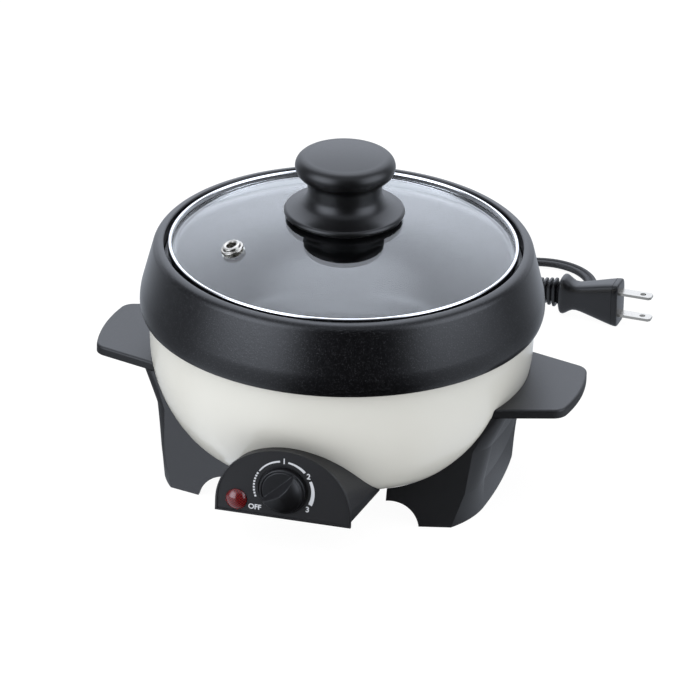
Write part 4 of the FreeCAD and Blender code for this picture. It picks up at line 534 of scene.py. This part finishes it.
def gland_sleeve():
    """The cord's sleeve in the bowl's back: a collar and a slim neck, dipping towards the table."""
    way = np.array((0.0, cos(GLAND_DIP), -sin(GLAND_DIP)))
    line = outline([
        (0.0, -1.0), (7.0, -1.0), (7.5, 0.1), (7.5, 1.5, 0.5), (7.0, 2.0), (4.9, 2.2, -6.0), (4.5, 5.0),
        (4.3, 12.0), (4.05, 21.6, 0.5), (3.6, 22.0), (0.0, 22.0)], closed=False)
    return turned("gland_sleeve", line, CORD_BLACK, turns=72, closed=False,
                  place=np.array(GLAND_MOUTH) - way * GLAND_DEPTH, over=np.cross(way, RIGHT), axis=way)


def lead():
    """The flat cord with its plug and its gland's sleeve."""
    line = smooth_line(lead_route())
    flex, length = twin_flex("flat_twin_cord", line)
    plug = plug_moulding()
    sleeve = gland_sleeve()
    stand_in(flex, "base", "cord_black", "power_cord", "cord_coil")
    stand_in(plug, "base", "plug_black", "plug_body")
    stand_in(sleeve, "base", "cord_black", "cord_gland")


# The lid.

GLASS_HOLE = 3.5
RING_RADIUS = 89.6
RING_INNER = 87.8
RING_TOP = 125.0
VENT_REACH = 62.4
VENT_BEARING = radians(-139.6)


def dome(radius, lift=0.0):
    """Height of the glass's outer sphere, moved out by lift, above the table at a radius."""
    return DOME_TOP - DOME_RADIUS + np.sqrt((DOME_RADIUS + lift) ** 2 - radius ** 2)


def domed_glass():
    """The dome's outer sphere, a rounded edge, and the sphere of its inner face."""
    outer = np.linspace(GLASS_HOLE, GLASS_EDGE - 0.7, 40)
    inner = np.linspace(GLASS_EDGE - 0.6, GLASS_HOLE, 40)
    top, under = dome(GLASS_EDGE), dome(GLASS_EDGE, -GLASS)
    edge = ((GLASS_EDGE - 0.2, top - 0.25), (GLASS_EDGE, top - 0.8), (GLASS_EDGE, under + 0.7),
            (GLASS_EDGE - 0.2, under + 0.2))
    line = np.vstack((np.stack((outer, dome(outer)), axis=1), edge,
                      np.stack((inner, dome(inner, -GLASS)), axis=1)))
    return turned("domed_glass", line, CLEAR_GLASS, turns=192)


def chromed_ring():
    """A channel of bright sheet, rolled over the glass's edge at its top and turned in below."""
    wall_in, wall_out = 88.3, 89.0
    return turned("chromed_ring", outline([
        (86.5, SEAT + 0.2), (GLASS_EDGE, SEAT, 0.8), (RING_RADIUS, SEAT + 0.8),
        (RING_RADIUS, RING_TOP - 0.9, 0.9), (RING_RADIUS - 0.9, RING_TOP, 0.9), (RING_INNER, RING_TOP - 0.9),
        (RING_INNER, dome(RING_INNER) + 0.1), (wall_in, dome(wall_in) + 0.1),
        (wall_in, RING_TOP - 1.0, -0.35), (88.65, RING_TOP - 0.65, -0.35), (wall_out, RING_TOP - 1.0),
        (wall_out, SEAT + 0.9), (86.5, SEAT + 0.9)], steps=8), CHROME, turns=192)


def knob_moulding():
    """A wide skirt on the glass, a waist and a flared button, in arcs through a few corners."""
    under = [(0.0, DOME_TOP + 0.6), (29.4, dome(29.4, 0.55), 2.0)]
    over = raised(DOME_TOP, (30.9, 0.2, 2.0), (29.4, 2.0, -22.0), (22.6, 4.9, -8.0), (19.1, 12.0),
                  (19.1, 15.3, -4.5), (22.0, 19.6, 6.5), (25.7, 25.4, 5.7), (20.0, 30.7, 134.1), (0.0, 32.2))
    return turned("knob_moulding", outline(under + over, steps=14, closed=False), PHENOLIC, turns=128,
                  closed=False)


def vent_fitting():
    """A rolled eyelet, square on the glass: flanges on both faces and a raised lip round its bore."""
    level = VENT_REACH * np.array((cos(VENT_BEARING), sin(VENT_BEARING), 0.0))
    normal = (level + UP * np.sqrt(DOME_RADIUS ** 2 - VENT_REACH ** 2)) / DOME_RADIUS
    across = np.cross(normal, UP)
    across /= np.linalg.norm(across)
    return turned("vent_fitting", outline([
        (2.5, -4.9), (5.6, -4.9, 0.4), (5.95, -4.5), (5.95, -4.0), (3.1, -3.95), (3.1, 0.08), (5.95, 0.1),
        (5.95, 0.5, 0.6), (5.35, 1.1), (4.9, 1.15, -0.4), (4.7, 1.4), (4.7, 2.1, 0.55), (4.15, 2.65, 0.9),
        (3.0, 2.6, 0.5), (2.5, 2.1)], steps=6), NICKEL, turns=64,
        place=UP * (DOME_TOP - DOME_RADIUS) + normal * DOME_RADIUS,
        across=across, over=np.cross(normal, across), axis=normal)


def lid():
    """The pieces of the lid."""
    stand_in(domed_glass(), "lid", "clear_glass", "lid_glass")
    stand_in(chromed_ring(), "lid", "chromed_ring", "lid_rim")
    stand_in(knob_moulding(), "lid", "knob_black", "lid_knob")
    stand_in(vent_fitting(), "lid", "nickel", "vent_eyelet")


# The pan with its outer band, and the painted bowl.

PAN_UNDER = 44.5
PAN_FLOOR = 50.0
BAND_FOOT = 87.6
BRIM = 124.6
BOWL_FOOT = 15.0
BOWL_TOP = 94.0
BELLY_MIDDLE = (26.5, 73.0)
BELLY = 72.0
BELLY_TURN = radians(38.5)
HAUNCH = 34.96
SHEET_WALL = 0.8


def coated_pan():
    """From the floor's underside up the outer wall, under and round the band, over the brim, and down
    the groove and the inner wall to the floor."""
    return turned("coated_pan", outline([
        (0.0, PAN_UNDER), (61.5, PAN_UNDER, 21.5), (83.1, 66.5), (87.0, 113.2), (96.6, 113.2),
        (99.95, 99.8), (96.9, 96.8), (96.9, BOWL_TOP), (99.2, BOWL_TOP), (99.2, 89.1), (99.8, BAND_FOOT),
        (101.9, BAND_FOOT, 1.2), (103.0, 88.6, 10.4), (103.8, 92.6, 33.0), (102.95, 99.8),
        (97.64, 120.83, 5.0), (92.79, BRIM, 1.0), (91.75, BRIM - 1.0), (91.7, SEAT + 0.8, -0.8),
        (90.9, SEAT), (85.5, SEAT, 1.5), (84.0, SEAT - 1.5), (80.1, 68.0, -18.5), (61.5, PAN_FLOOR),
        (0.0, PAN_FLOOR)],
        steps=16, closed=False), COAT, turns=192, closed=False)


def painted_bowl():
    """A shell of sheet: a flat foot, a haunch, a round belly that the haunch meets at BELLY_TURN below
    the level of its middle, and an upright mouth."""
    middle, level = BELLY_MIDDLE
    mouth = middle + BELLY
    inside = mouth - SHEET_WALL

    def meeting(radius):
        return middle + radius * cos(BELLY_TURN), level - radius * sin(BELLY_TURN)

    return turned("painted_bowl", outline([
        (46.0, BOWL_FOOT), (55.5, BOWL_FOOT, HAUNCH), (*meeting(BELLY), BELLY), (mouth, level),
        (mouth, BOWL_TOP - 0.3, 0.4), (mouth - 0.4, BOWL_TOP), (inside, BOWL_TOP - 0.3),
        (inside, level, SHEET_WALL - BELLY), (*meeting(BELLY - SHEET_WALL), SHEET_WALL - HAUNCH),
        (55.5, BOWL_FOOT + SHEET_WALL), (46.0, BOWL_FOOT + SHEET_WALL)], steps=24), IVORY, turns=192)


def vessels():
    """The pan and the bowl under it."""
    stand_in(coated_pan(), "base", "nonstick_black", "pan")
    stand_in(painted_bowl(), "base", "ivory_paint", "bowl_shell")


# The dial: a disc with a thumb grip, in directions along the grip (its pointer at -x) and across it.

DIAL_TURN = radians(43.0)
DIAL_RADIUS = 12.0
DIAL_ROUND = 0.8
DIAL_FACE = 1.6
DIAL_BACK = -0.9
GROOVE_RADIUS = 10.5
GROOVE_DEPTH = 0.3
GROOVE_WIDTH = 0.25
GRIP_RADIUS = 11.0
GRIP_CROWN = 6.4
GRIP_FALL = 4.2
FLANK_START = 3.2
FLANK_SLOPE = radians(62.0)


def grip_height(x, y):
    """Height of the grip above its disc. Over the half disc y < 0 it is H (1 - q)^0.55, where the crown
    H falls by GRIP_FALL towards the pointer, and q is (x^2 + y^2) / R^2 past the middle and y^2 / (R^2
    - x^2) before it for the grip's radius R. A steep flank (FLANK_START - y) tan FLANK_SLOPE cuts the
    other side, blended over a few tenths."""
    flank = (FLANK_START - y) * np.tan(FLANK_SLOPE)
    crown = GRIP_CROWN - GRIP_FALL * np.clip(-x / GRIP_RADIUS, 0.0, 1.0) ** 1.15
    reach = np.sqrt(np.maximum(GRIP_RADIUS ** 2 - np.minimum(x, 0.0) ** 2, 0.04))
    share = (np.maximum(x, 0.0) / GRIP_RADIUS) ** 2 + (np.maximum(-y, 0.0) / reach) ** 2
    rim = np.clip((DIAL_RADIUS - 0.1 - np.hypot(x, y)) / 1.2, 0.0, 1.0) ** 0.5
    high = crown * np.maximum(1.0 - share, 0.0) ** 0.55 * rim
    gap = high - flank
    low = (high + flank - np.sqrt(gap * gap + 0.12)) / 2
    return np.maximum(low, 0.0)


def dial_moulding():
    """A disc of height F + r sqrt(1 - ((d - R + r) / r)^2) past d = R - r, for face height F, radius R
    and edge round r, with a fine groove near its edge. The grip stands on it."""
    flat = DIAL_RADIUS - DIAL_ROUND
    rounding = flat + DIAL_ROUND * np.sin(np.linspace(0.1, np.pi / 2, 8))
    radius = np.concatenate((np.linspace(0.0, flat, 96), rounding))[:, None]
    angle = np.linspace(0.0, 2 * np.pi, 300, endpoint=False)
    x, y = radius * np.cos(angle), radius * np.sin(angle)
    past = np.maximum(radius - flat, 0.0) / DIAL_ROUND
    disc = DIAL_FACE + DIAL_ROUND * np.sqrt(np.maximum(1.0 - past ** 2, 0.0))
    groove = GROOVE_DEPTH * np.exp(-((radius - GROOVE_RADIUS) / GROOVE_WIDTH) ** 2)
    top = np.stack((x, y, disc - groove + grip_height(x, y)), axis=-1)
    foot = top[-1] * (1.0, 1.0, 0.0) + (0.0, 0.0, DIAL_BACK)
    middle = np.zeros_like(foot) + (0.0, 0.0, DIAL_BACK)
    grid = np.concatenate((top, foot[None], middle[None]))
    piece = surface("dial_moulding", grid, DIAL_BLACK, crease=50.0)
    along = RIGHT * cos(DIAL_TURN) + PANEL_UP * sin(DIAL_TURN)
    return moved(piece, DIAL_MIDDLE, along, np.cross(PANEL_OUT, along), PANEL_OUT)


def dial_spindle():
    """The thermostat's shaft up into the dial, with a bevelled end."""
    line = outline([(0.0, -11.2), (3.0, -11.2), (3.0, 1.8), (2.6, 2.2), (0.0, 2.2)], closed=False)
    return turned("dial_spindle", line, BRASS, turns=48, closed=False, place=DIAL_MIDDLE, over=PANEL_UP,
                  axis=PANEL_OUT)


def dial():
    """The dial on its spindle."""
    stand_in(dial_moulding(), "dial", "dial_black", "dial_knob")
    stand_in(dial_spindle(), "dial", "shaft_brass", "thermostat_shaft")


# The printed scale round the dial, laid on the panel's face.

PANEL_FACE = -0.5
INK_LIFT = 0.03
INK_GAP = 0.005
CAP_SHARE = 0.7
FIGURES = (("scale_one", "1", 15.6, 90.0), ("scale_two", "2", 15.8, 35.0),
           ("scale_three", "3", 15.8, -35.0))
FIGURE_HEIGHT = 2.9


def on_panel(piece, x, up, out):
    """Carries a piece made in (right, up, out) to a place on the panel."""
    origin = PANEL_FOOT + RIGHT * x + PANEL_UP * up + PANEL_OUT * out
    return moved(piece, origin, RIGHT, PANEL_UP, PANEL_OUT)


def ink_arc(name, start, end, inner, outer):
    """A flat band between two radii, from one angle to another; each radius is given at the start and
    the end."""
    angle = np.radians(np.linspace(start, end, 40))[:, None]
    share = np.linspace(0.0, 1.0, 40)[:, None]
    low = inner[0] + (inner[1] - inner[0]) * share
    high = outer[0] + (outer[1] - outer[0]) * share
    radius = low + (high - low) * np.array((0.0, 0.0, 1.0, 1.0))
    lift = np.array((0.0, 1.0, 1.0, 0.0)) * INK_LIFT + 0 * radius
    grid = np.stack((radius * np.cos(angle), radius * np.sin(angle), lift), axis=-1)
    return on_panel(surface(name, capped(grid), INK), 0.0, DIAL_UP, PANEL_FACE + INK_GAP)


def ink_word(name, letters, height, x, up):
    """Letters in a plain face, centred on a point of the panel."""
    text = bpy.data.curves.new(name, "FONT")
    text.body = letters
    text.align_x = "CENTER"
    text.align_y = "CENTER"
    text.size = height / CAP_SHARE * MM
    text.extrude = INK_LIFT / 2 * MM
    text.offset = 0.10 * MM
    holder = bpy.data.objects.new(name, text)
    mesh = bpy.data.meshes.new_from_object(holder)
    bpy.data.objects.remove(holder)
    return on_panel(placed(name, mesh, INK), x, up, PANEL_FACE + INK_LIFT / 2 + INK_GAP)


def printed_scale():
    """Nine dots and three arcs that grow broader with the heat, the figures 1 to 3 and OFF."""
    marks = [ink_arc(f"scale_dot_{number}", angle - 1.9, angle + 1.9, (14.9, 14.9), (15.9, 15.9))
             for number, angle in enumerate(np.linspace(200.0, 152.0, 9))]
    marks.append(ink_arc("scale_low", 146.0, 98.0, (15.0, 14.9), (15.7, 15.9)))
    marks.append(ink_arc("scale_middle", 82.0, 45.0, (14.9, 14.8), (15.8, 16.2)))
    marks.append(ink_arc("scale_high", 25.0, -24.0, (14.7, 14.5), (16.2, 16.6)))
    for name, figure, radius, angle in FIGURES:
        x, up = radius * cos(radians(angle)), DIAL_UP + radius * sin(radians(angle))
        marks.append(ink_word(name, figure, FIGURE_HEIGHT, x, up))
    marks.append(ink_word("scale_off", "OFF", 2.7, -14.6, DIAL_UP - 11.6))
    for mark in marks:
        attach(mark, "base")


def dress_nodes():
    """Gives the nodes that stay in view their materials."""
    finishes = {
        LEG_BLACK: ("right_leg_handle", "left_leg_handle"),
        CASE_BLACK: ("control_housing",),
        LENS: ("indicator_lens",),
        RUBBER: ("knob_gasket",),
        NICKEL: ("plug_blades",),
        STEEL: ("knob_washer", "knob_screw", "pan_studs", "spacer_sleeves", "stud_nuts", "leg_screws",
                "housing_screws", "thermal_fuse", "thermostat_body"),
        SHEET: ("heat_reflector", "bottom_plate"),
        HEATER: ("heating_element",),
        CERAMIC: ("terminal_block",),
        CLEAR_GLASS: ("neon_lamp",),
        SLEEVING: ("lead_wires",),
    }
    for material, names in finishes.items():
        for name in names:
            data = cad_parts[name].data
            data.materials.clear()
            data.materials.append(material)


# The studio.

# A side box is (turn from the camera's side, level).
SIDE_BOXES = ((-54.0, 3.8), (69.0, 3.1))
# A patch of the ceiling behind the pot is (rise, start and end of its soft edge, level).
CEILING = ((51.0, 0.68, 0.93, 2.15), (62.0, 0.94, 1.0, 3.45))
FLOOR_DROP = 0.3
FLOOR_HALF = 8000.0


def facing(turn, rise=0.0):
    """A direction, turned from the camera's side to its right and raised."""
    bearing, rise = radians(AZIMUTH + turn), radians(rise)
    return (sin(bearing) * cos(rise), -cos(bearing) * cos(rise), sin(rise))


def wire(tree):
    """Helpers that lay nodes in a tree: a dot product, a soft ramp and a blend of two levels."""
    link = tree.links.new

    def along(way, axis):
        dot = node(tree, "VectorMath", {1: axis}, operation="DOT_PRODUCT")
        link(way, dot.inputs[0])
        return dot.outputs["Value"]

    def ramp(value, start, end, low=0.0, high=1.0):
        step = node(tree, "MapRange", {"From Min": start, "From Max": end, "To Min": low, "To Max": high},
                    interpolation_type="SMOOTHSTEP")
        link(value, step.inputs["Value"])
        return step.outputs["Result"]

    def blend(factor, first, second):
        mix = node(tree, "Mix", data_type="FLOAT")
        for socket, value in (("Factor", factor), ("A", first), ("B", second)):
            if isinstance(value, float):
                mix.inputs[socket].default_value = value
            else:
                link(value, mix.inputs[socket])
        return mix.outputs["Result"]

    return along, ramp, blend


def side_lights():
    """Level of the room round the pot by bearing alone: dark in front, a tall soft box on each side,
    Dim beyond them and Rear behind the pot."""
    group, entry, leave = node_group(
        "side_lights", {"Vector": VECTOR, "Dim": NUMBER, "Rear": NUMBER}, {"Level": NUMBER})
    link = group.links.new
    along, ramp, blend = wire(group)
    flat = node(group, "VectorMath", {1: (1.0, 1.0, 0.0)}, operation="MULTIPLY")
    unit = node(group, "VectorMath", operation="NORMALIZE")
    link(entry.outputs["Vector"], flat.inputs[0])
    link(flat.outputs["Vector"], unit.inputs[0])
    way = unit.outputs["Vector"]
    front = along(way, facing(0.0))
    near = blend(ramp(front, -0.1, 0.85, 1.0, 0.0), 0.02, entry.outputs["Dim"])
    level = blend(ramp(front, -0.88, -0.35, 1.0, 0.0), near, entry.outputs["Rear"])
    for turn, strength in SIDE_BOXES:
        level = blend(ramp(along(way, facing(turn)), 0.80, 1.0), level, strength)
    link(level, leave.inputs["Level"])
    return group


def studio_world(lights):
    """A white studio: a cool wall and ceiling behind, soft boxes at both sides and a dark room in
    front."""
    world = bpy.data.worlds.new("studio_world")
    world.use_nodes = True
    tree = world.node_tree
    link = tree.links.new
    along, ramp, blend = wire(tree)
    background = tree.nodes["Background"]
    way = node(tree, "TexCoord").outputs["Generated"]
    above = along(way, (0.0, 0.0, 1.0))
    sides = node(tree, "Group", {"Dim": 0.2, "Rear": 1.25}, node_tree=lights)
    link(way, sides.inputs["Vector"])
    mirrored = blend(ramp(above, 0.55, 0.85), sides.outputs["Level"], 0.6)
    for rise, start, end, strength in CEILING:
        mirrored = blend(ramp(along(way, facing(180.0, rise)), start, end), mirrored, strength)
    spread = blend(ramp(above, -0.2, 0.9), 0.62, 1.05)
    rays = node(tree, "LightPath")
    level = blend(rays.outputs["Is Glossy Ray"], spread, mirrored)
    link(blend(rays.outputs["Is Camera Ray"], level, 1.0), background.inputs["Strength"])
    tint = node(tree, "Mix", {"A": (1.0, 1.0, 1.0, 1.0), "B": (0.90, 0.96, 1.08, 1.0)}, data_type="RGBA")
    link(rays.outputs["Is Glossy Ray"], tint.inputs["Factor"])
    link(tint.outputs["Result"], background.inputs["Color"])
    bpy.context.scene.world = world
    bpy.context.scene.view_settings.view_transform = "Standard"


def soft_panel(name, place, aim, wide, high, power):
    """An area lamp, in metres and watts, that lights but isn't mirrored or seen in the glass."""
    lamp = bpy.data.lights.new(name, "AREA")
    lamp.shape = "RECTANGLE"
    lamp.size, lamp.size_y = wide, high
    lamp.energy = power
    holder = bpy.data.objects.new(name, lamp)
    way = Vector(aim) - Vector(place)
    holder.matrix_world = Matrix.Translation(place) @ way.to_track_quat("-Z", "Y").to_matrix().to_4x4()
    holder.visible_glossy = False
    holder.visible_transmission = False
    bpy.context.scene.collection.objects.link(holder)


def floor_white(lights):
    """The floor's paint: mostly plain white to the camera, so that it meets the white background and
    still keeps the pot's shadow. To mirrored rays it shows painted light instead: a cool glow, dim in front
    and bright towards the side boxes and behind, standing for the dim room's lit sides."""
    material = bpy.data.materials.new("floor_white")
    material.use_nodes = True
    tree = material.node_tree
    link = tree.links.new
    shader = tree.nodes["Principled BSDF"]
    shader.inputs["Base Color"].default_value = (0.90, 0.90, 0.90, 1.0)
    shader.inputs["Roughness"].default_value = 0.9
    glow = node(tree, "Emission", {"Strength": 1.08})
    # Painted light: mirrors see the floor as a glow, not as its lit paint; the glow's strength follows the
    # room's side lights by bearing.
    sides = node(tree, "Group", {"Dim": 1.4, "Rear": 3.6}, node_tree=lights)
    mirrored = node(tree, "Emission", {"Color": (0.195, 0.21, 0.235, 1.0)})
    rays = node(tree, "LightPath")
    share = node(tree, "Math", {1: 0.88}, operation="MULTIPLY")
    lit = node(tree, "MixShader")
    seen = node(tree, "MixShader")
    link(node(tree, "TexCoord").outputs["Object"], sides.inputs["Vector"])
    link(sides.outputs["Level"], mirrored.inputs["Strength"])
    link(rays.outputs["Is Camera Ray"], share.inputs[0])
    link(share.outputs[0], lit.inputs["Fac"])
    link(shader.outputs["BSDF"], lit.inputs[1])
    link(glow.outputs["Emission"], lit.inputs[2])
    link(rays.outputs["Is Glossy Ray"], seen.inputs["Fac"])
    link(lit.outputs["Shader"], seen.inputs[1])
    link(mirrored.outputs["Emission"], seen.inputs[2])
    link(seen.outputs["Shader"], tree.nodes["Material Output"].inputs["Surface"])
    return material


def studio():
    """The room, its two lamps and the pale floor."""
    lights = side_lights()
    studio_world(lights)
    soft_panel("overhead_panel", (-0.3, 0.1, 1.6), (0.0, 0.0, 0.08), 1.6, 1.4, 9.0)
    soft_panel("left_panel", (-1.4, -1.2, 0.8), (0.0, 0.0, 0.06), 1.0, 1.2, 7.2)
    mesh = bpy.data.meshes.new("pale_floor")
    corners = [(x * FLOOR_HALF * MM, y * FLOOR_HALF * MM, -FLOOR_DROP * MM)
               for x, y in ((-1, -1), (1, -1), (1, 1), (-1, 1))]
    mesh.from_pydata(corners, [], [(0, 1, 2, 3)])
    mesh.materials.append(floor_white(lights))
    floor = bpy.data.objects.new("pale_floor", mesh)
    bpy.context.scene.collection.objects.link(floor)


stand_camera()
lead()
lid()
vessels()
dial()
printed_scale()
dress_nodes()
studio()
